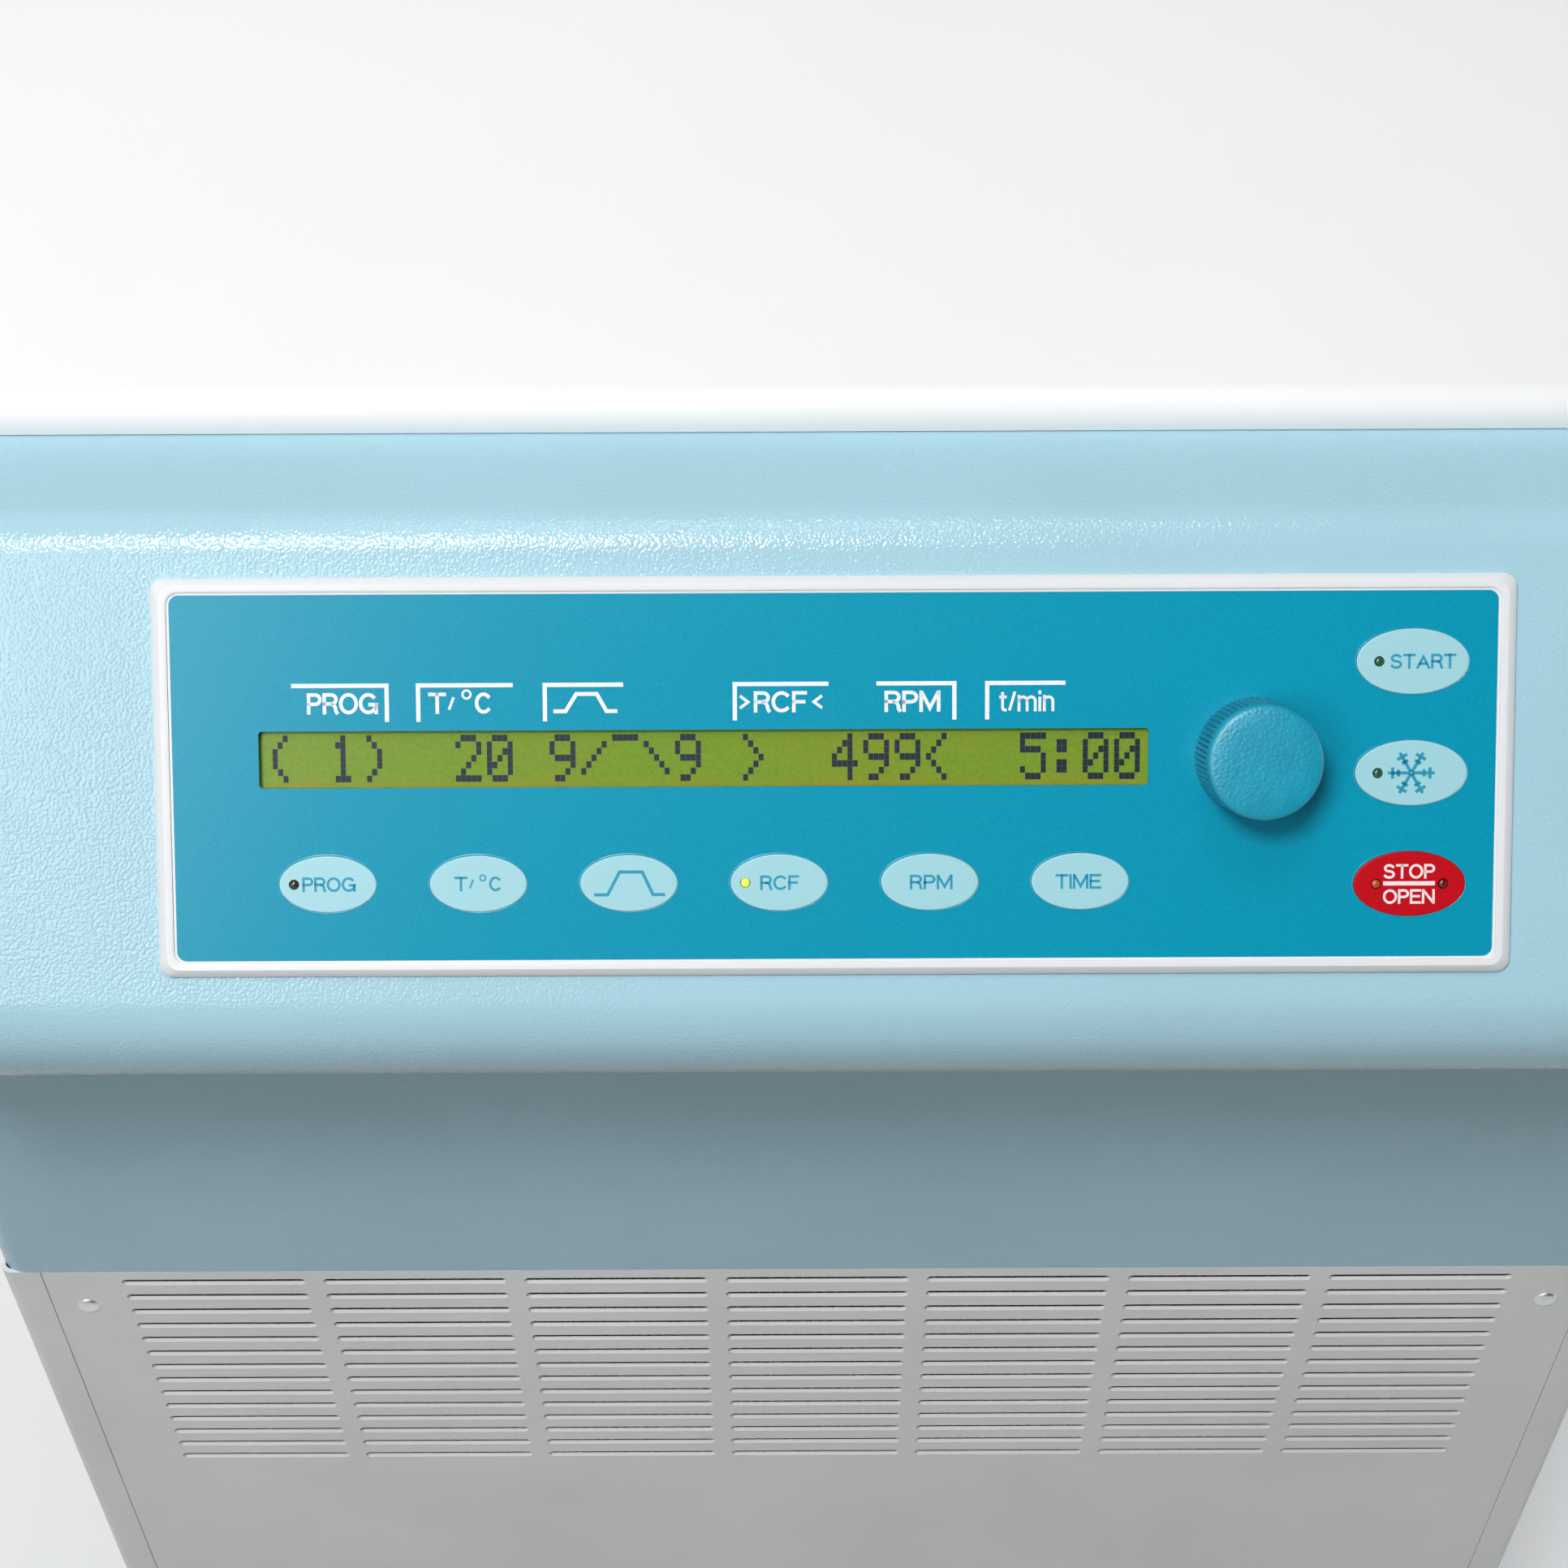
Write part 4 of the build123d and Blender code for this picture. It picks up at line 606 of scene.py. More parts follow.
# ---------------------------------------------------------------- rotor chamber
# A deep drawn stainless bowl, brushed in rings, hangs by its rolled rim with a copper coil and foam
# behind its wall and a thick steel guard ring round them. A hollow rubber gasket lies on the rim.

STAINLESS = (0.60, 0.605, 0.61)
FOAM_YELLOW = (0.72, 0.62, 0.36)


def brushed_steel(name, along):
    """Stainless steel with brush marks drawn out along one way, by the scale of each axis."""
    finish = streaked(name, STAINLESS, 0.27, 3.0, (0.93, 1.05), lambda made: made.stretched(along))
    finish.shine(finish.noise(4.0, 3, 0.5, finish.stretched(along)), 0.22, 0.36)
    return finish.material


def ring_brushed(name, centre):
    """Stainless steel turned and brushed in rings about an upright axis."""
    def rings(made):
        local = made.stretched((1, 1, 1), shift=(-centre[0], -centre[1], 0))
        split = made.add("ShaderNodeSeparateXYZ", {"Vector": local})
        flat = made.add("ShaderNodeCombineXYZ", {"X": split, "Y": split.node.outputs["Y"]})
        return made.add("ShaderNodeCombineXYZ", {"X": made.reach(flat), "Z": split.node.outputs["Z"]})

    return streaked(name, STAINLESS, 0.30, 0.8, (0.93, 1.05), rings).material


chamber_middle = middle_of("rotor_chamber")
bowl_steel = ring_brushed("ring_brushed_stainless", chamber_middle)
flat_steel = brushed_steel("brushed_stainless", (0.03, 1, 1))
smoothed("rotor_chamber", bowl_steel, "chamber_steel")
smoothed("chamber_insulation", finished("poured_foam", FOAM_YELLOW, 0.92, (25, 4), (0.85, 1.1), (),
                                        [(1.6, 0.4, 0.25, 0.7)], specular=0.2), "foam")
smoothed("cooling_coil", copper, "copper")
smoothed("safety_ring", primer, "frame_steel")

gasket_low, gasket_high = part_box("chamber_gasket")
GASKET_W = 0.013
gasket_r = gasket_high[0] - GASKET_W
gasket_h = gasket_high[2] - gasket_low[2]
gasket_lines = [(0, 0), (1, 0), (1, 0.26), (0.93, 0.34), (0.93, 0.46), (1, 0.56), (0.98, 0.78), (0.86, 0.95),
                (0.68, 1.0), (0.32, 1.0), (0.14, 0.95), (0.02, 0.78), (0, 0.56), (0.07, 0.46), (0.07, 0.34),
                (0, 0.26)]
gasket_profile = [(gasket_r + x * GASKET_W, gasket_low[2] + y * gasket_h) for x, y in gasket_lines]
gasket_mesh = spun(gasket_profile, 128, (chamber_middle[0], chamber_middle[1], 0))
piece_of("lipped_gasket", gasket_mesh, "cabinet", "gasket_rubber",
         rubber("gasket_rubber", (0.035, 0.036, 0.038), 0.6), replaces=("chamber_gasket",))


# ---------------------------------------------------------------- rotor, buckets and slide carriers
# The rotor is a clear anodised aluminium spider, turned and milled from a disc, clamped by a hand nut.
# Steel buckets hang on its pins, and in each lies a tray with a glass slide under a sample chamber.

ANODISED = (0.52, 0.53, 0.55)
CLEAR_GLASS = (0.90, 0.96, 0.94)
FROSTED_END = 0.020


def clear(name, colour, roughness, index, ripple=0.25):
    """Clear glass or plastic with a faint ripple."""
    finish = Finish(name, colour, roughness)
    finish.set({"Transmission Weight": 1.0, "IOR": index})
    finish.relief(finish.noise(40, 2), 0.01, ripple)
    return finish.material


# Bead blasted and anodised, with a fine even grain.
rotor_alloy = finished("anodised_rotor", ANODISED, 0.38, (40, 3), (0.95, 1.04), (9, 2, 0.05, 0.08),
                       grains=[(0.5, 2, 0.01, 0.6)], metallic=1.0)
smoothed("rotor_head", rotor_alloy, "rotor_alloy")
smoothed("rotor_nut", ground_steel, "rotor_alloy")

bucket_steel = bare_metal("bead_blasted_steel", (0.50, 0.51, 0.52), 0.40, (1, 1, 1))
tray_steel = bare_metal("tray_steel", (0.44, 0.45, 0.46), 0.34, (1, 1, 1))
slide_glass = clear("slide_glass", CLEAR_GLASS, 0.02, 1.52)
frosting = finished("frosted_label_end", (0.86, 0.88, 0.88), 0.75, (4, 3), (0.95, 1),
                    grains=[(0.35, 2, 0.01, 1)], specular=0.3)
sample_plastic = clear("sample_chamber_plastic", (0.93, 0.96, 0.98), 0.12, 1.49)


def loose_parts(mesh):
    """The separate closed shells of a mesh."""
    shape = bmesh.new()
    shape.from_mesh(mesh)
    bmesh.ops.remove_doubles(shape, verts=shape.verts, dist=2e-6)
    parts, left = [], set(shape.verts)
    while left:
        group, stack = set(), [next(iter(left))]
        while stack:
            vert = stack.pop()
            if vert not in group:
                group.add(vert)
                stack += [edge.other_vert(vert) for edge in vert.link_edges]
        left -= group
        part = bmesh.new()
        copies = {vert: part.verts.new(vert.co) for vert in group}
        for face in {face for vert in group for face in vert.link_faces}:
            part.faces.new([copies[vert] for vert in face.verts])
        parts.append(mesh_of(part, "part"))
    shape.free()
    return parts


def reach_of(mesh, turn=Matrix()):
    """Lowest and highest corners of a mesh, seen in turned coordinates."""
    spots = [turn @ vert.co for vert in mesh.vertices]
    return (Vector([min(spot[i] for spot in spots) for i in range(3)]),
            Vector([max(spot[i] for spot in spots) for i in range(3)]))


def slide_mesh(glass):
    """A plain glass slide with a frosted end, as two boxes that fill the reach of the CAD slide."""
    low, high = reach_of(glass)
    long_way = 0 if high.x - low.x > high.y - low.y else 1
    clear_end, frost_start = high.copy(), low.copy()
    clear_end[long_way] = frost_start[long_way] = high[long_way] - FROSTED_END
    halves = []
    for start, end in ((low, clear_end), (frost_start, high)):
        shape = bmesh.new()
        box_faces(shape, start, end)
        halves.append(mesh_of(shape, "slide"))
    return joined(*halves)


for number in range(1, 5):
    bucket, carrier = f"bucket_{number}", f"slide_carrier_{number}"
    smoothed(bucket, bucket_steel, "bucket_steel")
    tray, *others = sorted(loose_parts(frame["nodes"][carrier].data), key=lambda mesh: reach_of(mesh)[0].z)
    glass, sample = sorted(others, key=lambda mesh: reach_of(mesh)[1].z - reach_of(mesh)[0].z)
    piece_of(f"slide_tray_{number}", weighted(creased(tray)), bucket, "bucket_steel", tray_steel,
             replaces=(carrier,))
    piece_of(f"sample_chamber_{number}", creased(sample), bucket, "window_clear", sample_plastic)
    piece_of(f"glass_slide_{number}", slide_mesh(glass), bucket, "window_clear", slide_glass, frosting)


# ---------------------------------------------------------------- cabinet sheets
# The lower cabinet is folded sheet steel: a wrap round both sides and the rear, and a slotted front
# panel between its returns. Both are powder coated white and held by countersunk screws.

WHITE_COAT = (0.80, 0.81, 0.81)
SCREW_HEAD_R = 0.0042
HEAD_FLATNESS = 0.42
DOOR_SCREW_IN = 0.012
SHEET_SCREW_IN = 0.020
MIDDLE_SCREW_Z = 0.335
SIDE_SCREWS_Y = (-0.256, 0.03, 0.315)
SCREW_COUNTERSINK = 0.0004
SHEET_FRONT_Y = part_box("front_panel")[0][1]
SHEET_REAR_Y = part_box("cabinet_shell")[1][1]

white_coat = coated("white_powder_coat", WHITE_COAT, 0.38, 1.6, 0.03)
smoothed("cabinet_shell", white_coat, "cabinet_white")
smoothed("front_panel", white_coat, "cabinet_white")


def screw_tree():
    """Cross recessed pan heads, facing the way that Turn says."""
    head = Growth("screw_heads", **{"Head radius": "Float", "Turn": "Vector"})
    radius = head.given["Head radius"]
    dome = head.add("GeometryNodeMeshUVSphere", {"Segments": 20, "Rings": 12, "Radius": radius})
    flat = head.add("GeometryNodeTransform", {"Geometry": dome, "Scale": (1, 1, HEAD_FLATNESS)})
    bars = []
    for size in ((1.15, 0.2, 0.5), (0.2, 1.15, 0.5)):
        scaled = head.add("ShaderNodeVectorMath", {0: size, "Scale": radius}, operation="SCALE")
        up = head.add("ShaderNodeCombineXYZ", {"Z": head.math("MULTIPLY", radius, 0.46)})
        bar = head.add("GeometryNodeMeshCube", {"Size": scaled})
        bars.append(head.add("GeometryNodeTransform", {"Geometry": bar, "Translation": up}))
    cross = head.add("GeometryNodeJoinGeometry", {"Geometry": bars})
    cut = head.add("GeometryNodeMeshBoolean", {"Mesh 1": flat, "Mesh 2": cross}, operation="DIFFERENCE")
    return head.scatter(cut, Rotation=head.given["Turn"])


screw_heads = screw_tree()


def screws(name, points, turn):
    """Screw heads on the given points; turn is the rotation that takes +Z to the way they face."""
    grown(name, screw_heads, points, {"Head radius": SCREW_HEAD_R, "Turn": turn, "Finish": zinc},
          "cabinet", "cabinet_white")


door_low, door_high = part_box("front_panel")
door_rows = (door_low[2] + 0.03, MIDDLE_SCREW_Z, door_high[2] - 0.022)
screws("front_panel_screws", [(side * (door_high[0] - DOOR_SCREW_IN), SHEET_FRONT_Y + SCREW_COUNTERSINK, z)
                              for side in (-1, 1) for z in door_rows], (pi / 2, 0, 0))
wrap_low, wrap_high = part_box("cabinet_shell")
rear_rows = (wrap_low[2] + 0.03, MIDDLE_SCREW_Z, wrap_high[2] - 0.03)
screws("rear_sheet_screws", [(side * (wrap_high[0] - SHEET_SCREW_IN), SHEET_REAR_Y - SCREW_COUNTERSINK, z)
                             for side in (-1, 1) for z in rear_rows], (-pi / 2, 0, 0))
for side, hand in ((-1, "left"), (1, "right")):
    screws(f"side_screws_{hand}", [(side * (wrap_high[0] - SCREW_COUNTERSINK), y, z)
                                   for y in SIDE_SCREWS_Y
                                   for z in (wrap_low[2] + 0.014, wrap_high[2] - 0.03)],
           (0, side * pi / 2, 0))


# ---------------------------------------------------------------- upper housing
# One thick polyurethane moulding forms the recessed band, the rounded nose, the sloping fascia and the
# deck round the chamber. It is painted light blue with a fine leather grain and sits on the cabinet.

HOUSING_BLUE = (0.362, 0.588, 0.688)
# Cell size in mm, smoothness or detail, depth in mm and strength.
GRAIN = (0.85, 0.5, 0.115, 1)
FINE_GRAIN = (0.6, 1, 0.03, 0.9)

smoothed("upper_housing", finished("blue_leather_grain", HOUSING_BLUE, 0.13, (70, 3), (0.975, 1.02), (),
                                   [GRAIN], [FINE_GRAIN], specular=0.35), "housing_blue")


# ---------------------------------------------------------------- hinges and lid lock
# Two zinc plated steel brackets bolt to the deck and carry the lid's pins. The lock is a steel claw on
# a bracket under the deck, which turns through the eye of the lid's striker.

for fitting, metal in (("hinge_brackets", zinc), ("lock_bracket", zinc), ("lid_striker", ground_steel),
                       ("hinge_pins", ground_steel), ("lock_claw", ground_steel)):
    smoothed(fitting, metal, "zinc_steel")


# ---------------------------------------------------------------- lid
# The lid is a smooth white moulded shell, closed below by a brushed steel liner with two pairs of hinge
# arms. A clear acrylic plug in its middle shows whether the rotor still turns.

LID_WHITE = (0.83, 0.84, 0.85)


def smooth_moulding(name, colour, roughness, specular=0.5):
    """Plain moulded plastic: even colour, soft gloss and a faint waviness."""
    return finished(name, colour, roughness, (160, 2), (0.985, 1.01), grains=[(3.0, 1, 0.008, 0.5)],
                    specular=specular)


lid_paint = smooth_moulding("white_lid_moulding", LID_WHITE, 0.30)
smoothed("lid_shell", lid_paint, "lid_white")
smoothed("lid_liner", flat_steel, "chamber_steel")
smoothed("lid_window", clear("clear_acrylic", (0.92, 0.96, 0.97), 0.04, 1.49, 0.3), "window_clear")

# A grey ring is bonded round the window's flange, to cover the edge of the hole.
LID_RISE = radians(6.82)
RING_IN, RING_OUT, RING_T = 0.0333, 0.0375, 0.0022
# How far the ring's seat lies under the top of the window's box.
RING_DOWN = 0.0059
ring_profile = [(RING_IN, -0.0002), (RING_OUT, -0.0002), (RING_OUT, RING_T * 0.5), (RING_OUT - 0.001, RING_T),
                (RING_IN + 0.0006, RING_T), (RING_IN, RING_T * 0.8)]
ring_mesh = spun(ring_profile, 96, (0, 0, 0))
ring_seat = Vector((0, middle_of("lid_window")[1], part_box("lid_window")[1][2] - RING_DOWN))
ring_mesh.transform(Matrix.Translation(ring_seat) @ Matrix.Rotation(LID_RISE, 4, "X"))
piece_of("lid_window_ring", ring_mesh, "lid", "lid_white", grey_nylon)


# ---------------------------------------------------------------- control panel
# A white moulded frame is stuck on the fascia round an aluminium plate faced with blue printed film.
# Display, keys, lamps and the knob's encoder come up through openings in the plate.

PANEL_LEAN = radians(46)
PANEL_ORIGIN = Vector((0.0025, -0.305, 0.8505))
PANEL = Matrix.Translation(PANEL_ORIGIN) @ Matrix.Rotation(PANEL_LEAN, 4, "X")
FILM_BLUE = (0.0, 0.280, 0.430)
FILM_RIM = 0.0007
FILM_CORNER = 0.0033
FILM_GAP = 0.00002
RIM_CORNER = 0.0037
FRAME_WHITE = (0.74, 0.76, 0.785)
PRINT_T = 0.00003
MM = 0.001


def panel_box(node):
    """Lowest and highest corners of a CAD node, along, up and out of the panel."""
    return reach_of(frame["nodes"][node].data, PANEL.inverted())


def on_panel(finish):
    """Coordinates along, up and out of the panel, for a finish."""
    back = Matrix.Rotation(-PANEL_LEAN, 3, "X") @ PANEL_ORIGIN
    return finish.stretched((1, 1, 1), (-PANEL_LEAN, 0, 0), tuple(-x for x in back))


def rounded_loop(half_u, half_v, corner, steps=8):
    """Points round a rectangle with round corners, anticlockwise."""
    loop = []
    for quarter, (su, sv) in enumerate(((1, 1), (-1, 1), (-1, -1), (1, -1))):
        for i in range(steps + 1):
            angle = pi / 2 * (quarter + i / steps)
            loop.append((su * (half_u - corner) + corner * cos(angle),
                         sv * (half_v - corner) + corner * sin(angle)))
    return loop


def placed(mesh, u=0.0, v=0.0, w=0.0):
    """Moves a mesh that was made flat to its place on the panel."""
    mesh.transform(PANEL @ Matrix.Translation((u, v, w)))
    return mesh


film_u, film_v, film_top = panel_box("keypad_plate")[1]
rim_u, rim_v = panel_box("panel_bezel")[1].xy
# Share of the way from the film's edge to the rim, and height in mm.
FRAME_PROFILE = [(0, 0.0), (0, 2.88), (0.02, 2.91), (0.06, 2.92), (0.075, 2.98), (0.10, 3.0), (0.44, 3.0),
                 (0.46, 2.96), (0.95, 1.40), (1.0, 1.10), (1.0, 0.0)]
inner = rounded_loop(film_u + FILM_GAP, film_v + FILM_GAP, FILM_CORNER)
outer = rounded_loop(rim_u, rim_v, RIM_CORNER)
frame_rings = [[(a[0] + (b[0] - a[0]) * share, a[1] + (b[1] - a[1]) * share, height * MM)
                for a, b in zip(inner, outer)] for share, height in FRAME_PROFILE]
piece_of("panel_frame", creased(placed(lofted(frame_rings, "frame", wrap=True)), radians(18)), "cabinet",
         "bezel_white", smooth_moulding("white_frame_moulding", FRAME_WHITE, 0.30), replaces=("panel_bezel",))


def printed_film():
    """Matt blue film, printed on the back, with a narrow white rim along the plate's edge."""
    finish = Finish("blue_printed_film", FILM_BLUE, 0.25, 0.0, 0.27)
    away = finish.add("ShaderNodeVectorMath", {0: on_panel(finish)}, operation="ABSOLUTE")
    straight = (film_u - FILM_CORNER, film_v - FILM_CORNER, 1)
    past = finish.add("ShaderNodeVectorMath", {0: away, 1: straight}, operation="SUBTRACT")
    outside = finish.add("ShaderNodeVectorMath", {0: past, 1: (0, 0, 0)}, operation="MAXIMUM")
    edge = FILM_CORNER - FILM_RIM
    rim = finish.span(finish.reach(outside), edge - 0.00005, edge + 0.00005, 0, 1)
    speckle = finish.blend(finish.noise(0.45, 2), shade(FILM_BLUE, 0.92), shade(FILM_BLUE, 1.09))
    finish.feed("Base Color", finish.between(rim, speckle, (*FRAME_WHITE, 1)))
    finish.relief(finish.noise(0.7, 1), 0.008, 0.6)
    finish.relief(finish.noise(60, 2), 0.12, 0.3)
    return finish.material


smoothed("keypad_plate", printed_film(), "keypad_blue")


# ---------------------------------------------------------------- printed legends
# Legends are screen printed: white on the film above the display, blue on the pale keys and pale on the
# red one. The words and signs are the plain ones of any centrifuge.

PRINT_WHITE = (0.80, 0.85, 0.90)
PRINT_BLUE = (0.022, 0.30, 0.46)
PRINT_PALE = (0.85, 0.74, 0.77)


def ink(name, colour):
    return finished(name, colour, 0.45, (1.2, 3), (0.95, 1.03), grains=[(0.4, 1, 0.004, 0.4)], specular=0.3)


white_ink = ink("white_ink", PRINT_WHITE)
blue_ink = ink("blue_ink", PRINT_BLUE)
pale_ink = ink("pale_ink", PRINT_PALE)


def stroke(points, width, square=0.0):
    """Printed line of one width through points in millimetres, mitred, its ends drawn out by square."""
    spots = [Vector(point) for point in points]
    sides = []
    closed = (spots[0] - spots[-1]).length < 1e-6
    if not closed:
        spots[0] += (spots[0] - spots[1]).normalized() * square
        spots[-1] += (spots[-1] - spots[-2]).normalized() * square
    for i, spot in enumerate(spots):
        ahead = spots[i + 1] - spot if i < len(spots) - 1 else (spots[1] - spot if closed else None)
        behind = spot - spots[i - 1] if i else (spot - spots[-2] if closed else None)
        way_in, way_out = (behind or ahead).normalized(), (ahead or behind).normalized()
        lean = (way_in + way_out).normalized()
        across = Vector((-lean.y, lean.x))
        reach = width / 2 / max(0.3, across.dot(Vector((-way_in.y, way_in.x))))
        sides.append((spot + across * reach, spot - across * reach))
    rows = [[(spot.x * MM, spot.y * MM, w) for spot, w in ((a, 0), (a, PRINT_T), (b, PRINT_T), (b, 0))]
            for a, b in sides]
    return lofted(rows, "stroke", caps=not closed)


def bend(u, v, ru, rv, start, end, steps=12):
    """Points of an elliptical arc, angles in degrees."""
    return [(u + ru * cos(radians(start + (end - start) * i / steps)),
             v + rv * sin(radians(start + (end - start) * i / steps))) for i in range(steps + 1)]


# Each letter is a width and its pen lines, for letters one unit high.
LETTERS = {
    "A": (0.80, [[(0, 0), (0.40, 0.87), (0.80, 0)], [(0.17, 0.30), (0.63, 0.30)]]),
    "C": (0.80, [bend(0.42, 0.5, 0.42, 0.5, 48, 312, 20)]),
    "E": (0.62, [[(0.62, 0), (0, 0), (0, 1), (0.62, 1)], [(0, 0.52), (0.55, 0.52)]]),
    "F": (0.58, [[(0, 0), (0, 1), (0.58, 1)], [(0, 0.50), (0.50, 0.50)]]),
    "G": (0.84, [bend(0.42, 0.5, 0.42, 0.5, 48, 335, 20) + [(0.84, 0.44), (0.52, 0.44)],
                 [(0.84, 0.40), (0.84, 0)]]),
    "I": (0.0, [[(0, 0), (0, 1)]]),
    "M": (0.88, [[(0, 0), (0, 1)], [(0.06, 0.94), (0.44, 0.12), (0.82, 0.94)], [(0.88, 0), (0.88, 1)]]),
    "N": (0.74, [[(0, 0), (0, 1)], [(0.07, 0.93), (0.67, 0.07)], [(0.74, 0), (0.74, 1)]]),
    "O": (0.84, [bend(0.42, 0.5, 0.42, 0.5, 0, 360, 28)]),
    "P": (0.62, [[(0, 0), (0, 1)] + bend(0.35, 0.735, 0.27, 0.265, 90, -90) + [(0, 0.47)]]),
    "R": (0.66, [[(0, 0), (0, 1)] + bend(0.37, 0.745, 0.27, 0.255, 90, -90) + [(0, 0.49)],
                 [(0.38, 0.49), (0.54, 0.40), (0.60, 0.26), (0.62, 0.08), (0.67, 0)]]),
    "S": (0.68, [bend(0.34, 0.755, 0.30, 0.245, 30, 250, 12) + bend(0.34, 0.255, 0.33, 0.255, 72, -152, 12)]),
    "T": (0.70, [[(0, 1), (0.70, 1)], [(0.35, 1), (0.35, 0)]]),
    "i": (0.0, [[(0, 0), (0, 0.64)], [(0, 0.93), (0, 0.98)]]),
    "m": (0.84, [[(0, 0), (0, 0.73)], [(0, 0.50)] + bend(0.21, 0.50, 0.21, 0.21, 160, 0, 8) + [(0.42, 0)],
                 [(0.42, 0.50)] + bend(0.63, 0.50, 0.21, 0.21, 160, 0, 8) + [(0.84, 0)]]),
    "n": (0.44, [[(0, 0), (0, 0.73)], [(0, 0.48)] + bend(0.22, 0.49, 0.22, 0.22, 160, 0, 8) + [(0.44, 0)]]),
    "t": (0.26, [[(0.12, 0.90), (0.12, 0.14), (0.17, 0.02), (0.26, 0)], [(0.02, 0.71), (0.26, 0.71)]]),
    "/": (0.24, [[(0, 0.05), (0.24, 0.92)]]),
}
LETTER_SPACE = 0.235
PEN = 0.165


def word(text, u, v, pen=PEN):
    """Word drawn with one pen width, to fill the range u by v in millimetres on the panel."""
    tall = v[1] - v[0]
    nib = pen * tall
    wide = sum(LETTERS[sign][0] for sign in text) + LETTER_SPACE * (len(text) - 1)
    scale_u = (u[1] - u[0] - nib) / wide
    scale_v = tall - nib
    strokes, start = [], 0.0
    for sign in text:
        width, lines = LETTERS[sign]
        for line in lines:
            strokes.append(stroke([(u[0] + nib / 2 + (start + a) * scale_u, v[0] + nib / 2 + b * scale_v)
                                   for a, b in line], nib, nib / 2))
        start += width + LETTER_SPACE
    return strokes


def ramp_sign(u, v, width):
    """Trapezoid for the speeding up and slowing down of the rotor."""
    shares = ((0, 0), (0.19, 0), (0.36, 1), (0.68, 1), (0.83, 0), (1, 0))
    return [stroke([(u[0] + (u[1] - u[0]) * a, v[0] + (v[1] - v[0]) * b) for a, b in shares], width)]


def temperature_sign(u, v):
    """The sign T/°C, with a small raised ring and a short slash."""
    wide, tall = u[1] - u[0], v[1] - v[0]
    slash = [(u[0] + 0.325 * wide, v[0] + 0.2 * tall), (u[0] + 0.40 * wide, v[0] + 0.78 * tall)]
    ring = bend(u[0] + 0.605 * wide, v[0] + 0.91 * tall, 0.19 * tall, 0.19 * tall, 0, 360, 32)
    return [*word("T", (u[0], u[0] + 0.28 * wide), v), *word("C", (u[0] + 0.735 * wide, u[1]), v),
            stroke(slash, tall * 0.12), stroke(ring, tall * 0.10)]


def printed(name, meshes, w, body, slot, finish):
    """Lays printed shapes on the panel at height w as one piece."""
    piece_of(name, placed(joined(*meshes, one_finish=True), w=w), body, slot, finish)


BAR_V = 24.4
BAR_T = 1.1
BAR_DROP_V = 14.9
TEXT_V = (16.95, 22.5)


def bracket(u_from, u_corner):
    """Bar over a legend with a leg down to the display at its far end."""
    return stroke([(u_from, BAR_V), (u_corner, BAR_V), (u_corner, BAR_DROP_V)], BAR_T)


white_prints = [bracket(-141.5, -116.65), *word("PROG", (-137.5, -119.0), TEXT_V),
                bracket(-83.7, -108.45), *temperature_sign((-105.8, -89.3), TEXT_V),
                bracket(-54.95, -75.4), *ramp_sign((-73.2, -56.5), (17.5, 22.0), 1.0),
                bracket(-1.4, -25.85), *word("RCF", (-20.9, -7.0), TEXT_V),
                stroke([(-24.5, 21.3), (-22.4, 19.7), (-24.5, 18.1)], 0.75),
                stroke([(-3.1, 21.3), (-5.2, 19.7), (-3.1, 18.1)], 0.75),
                bracket(11.1, 31.45), *word("RPM", (13.2, 27.8), TEXT_V),
                bracket(60.4, 40.0), *word("t/min", (43.05, 57.5), TEXT_V, 0.13)]
printed("display_legends", white_prints, film_top, "cabinet", "keypad_blue", white_ink)


# ---------------------------------------------------------------- display
# A dot matrix liquid crystal display lies behind the plate's long opening. Its cell is yellow green
# glass with a row of characters, each five dots wide and seven high, lit from behind.

LCD_GREEN = (0.165, 0.285, 0.025)
LCD_AMBER = (0.30, 0.24, 0.02)
DOT_INK = (0.002, 0.010, 0.024)
DOT_PITCH_U = 1.361 * MM
DOT_PITCH_V = 1.772 * MM
DOT_GAP = 0.045 * MM
CELL_PITCH = 8.22 * MM
TEXT_LEFT_U = -148.5 * MM
TEXT_TOP_V = 11.28 * MM
SHOWN = "( 1)  20 9/-\\9 >  499<  5:00"
DOTS = {"(": "00010 00100 01000 01000 01000 00100 00010", ")": "01000 00100 00010 00010 00010 00100 01000",
        "0": "01110 10001 10011 10101 11001 10001 01110", "1": "00100 01100 00100 00100 00100 00100 01110",
        "2": "01110 10001 00001 00010 00100 01000 11111", "4": "00010 00110 01010 10010 11111 00010 00010",
        "5": "11111 10000 11110 00001 00001 10001 01110", "9": "01110 10001 10001 01111 00001 00010 01100",
        "/": "00000 00001 00010 00100 01000 10000 00000", "\\": "00000 10000 01000 00100 00010 00001 00000",
        "-": "11111 00000 00000 00000 00000 00000 00000", ":": "00000 01100 01100 00000 01100 01100 00000",
        ">": "01000 00100 00010 00001 00010 00100 01000", "<": "00010 00100 01000 10000 01000 00100 00010",
        " ": "00000 00000 00000 00000 00000 00000 00000"}


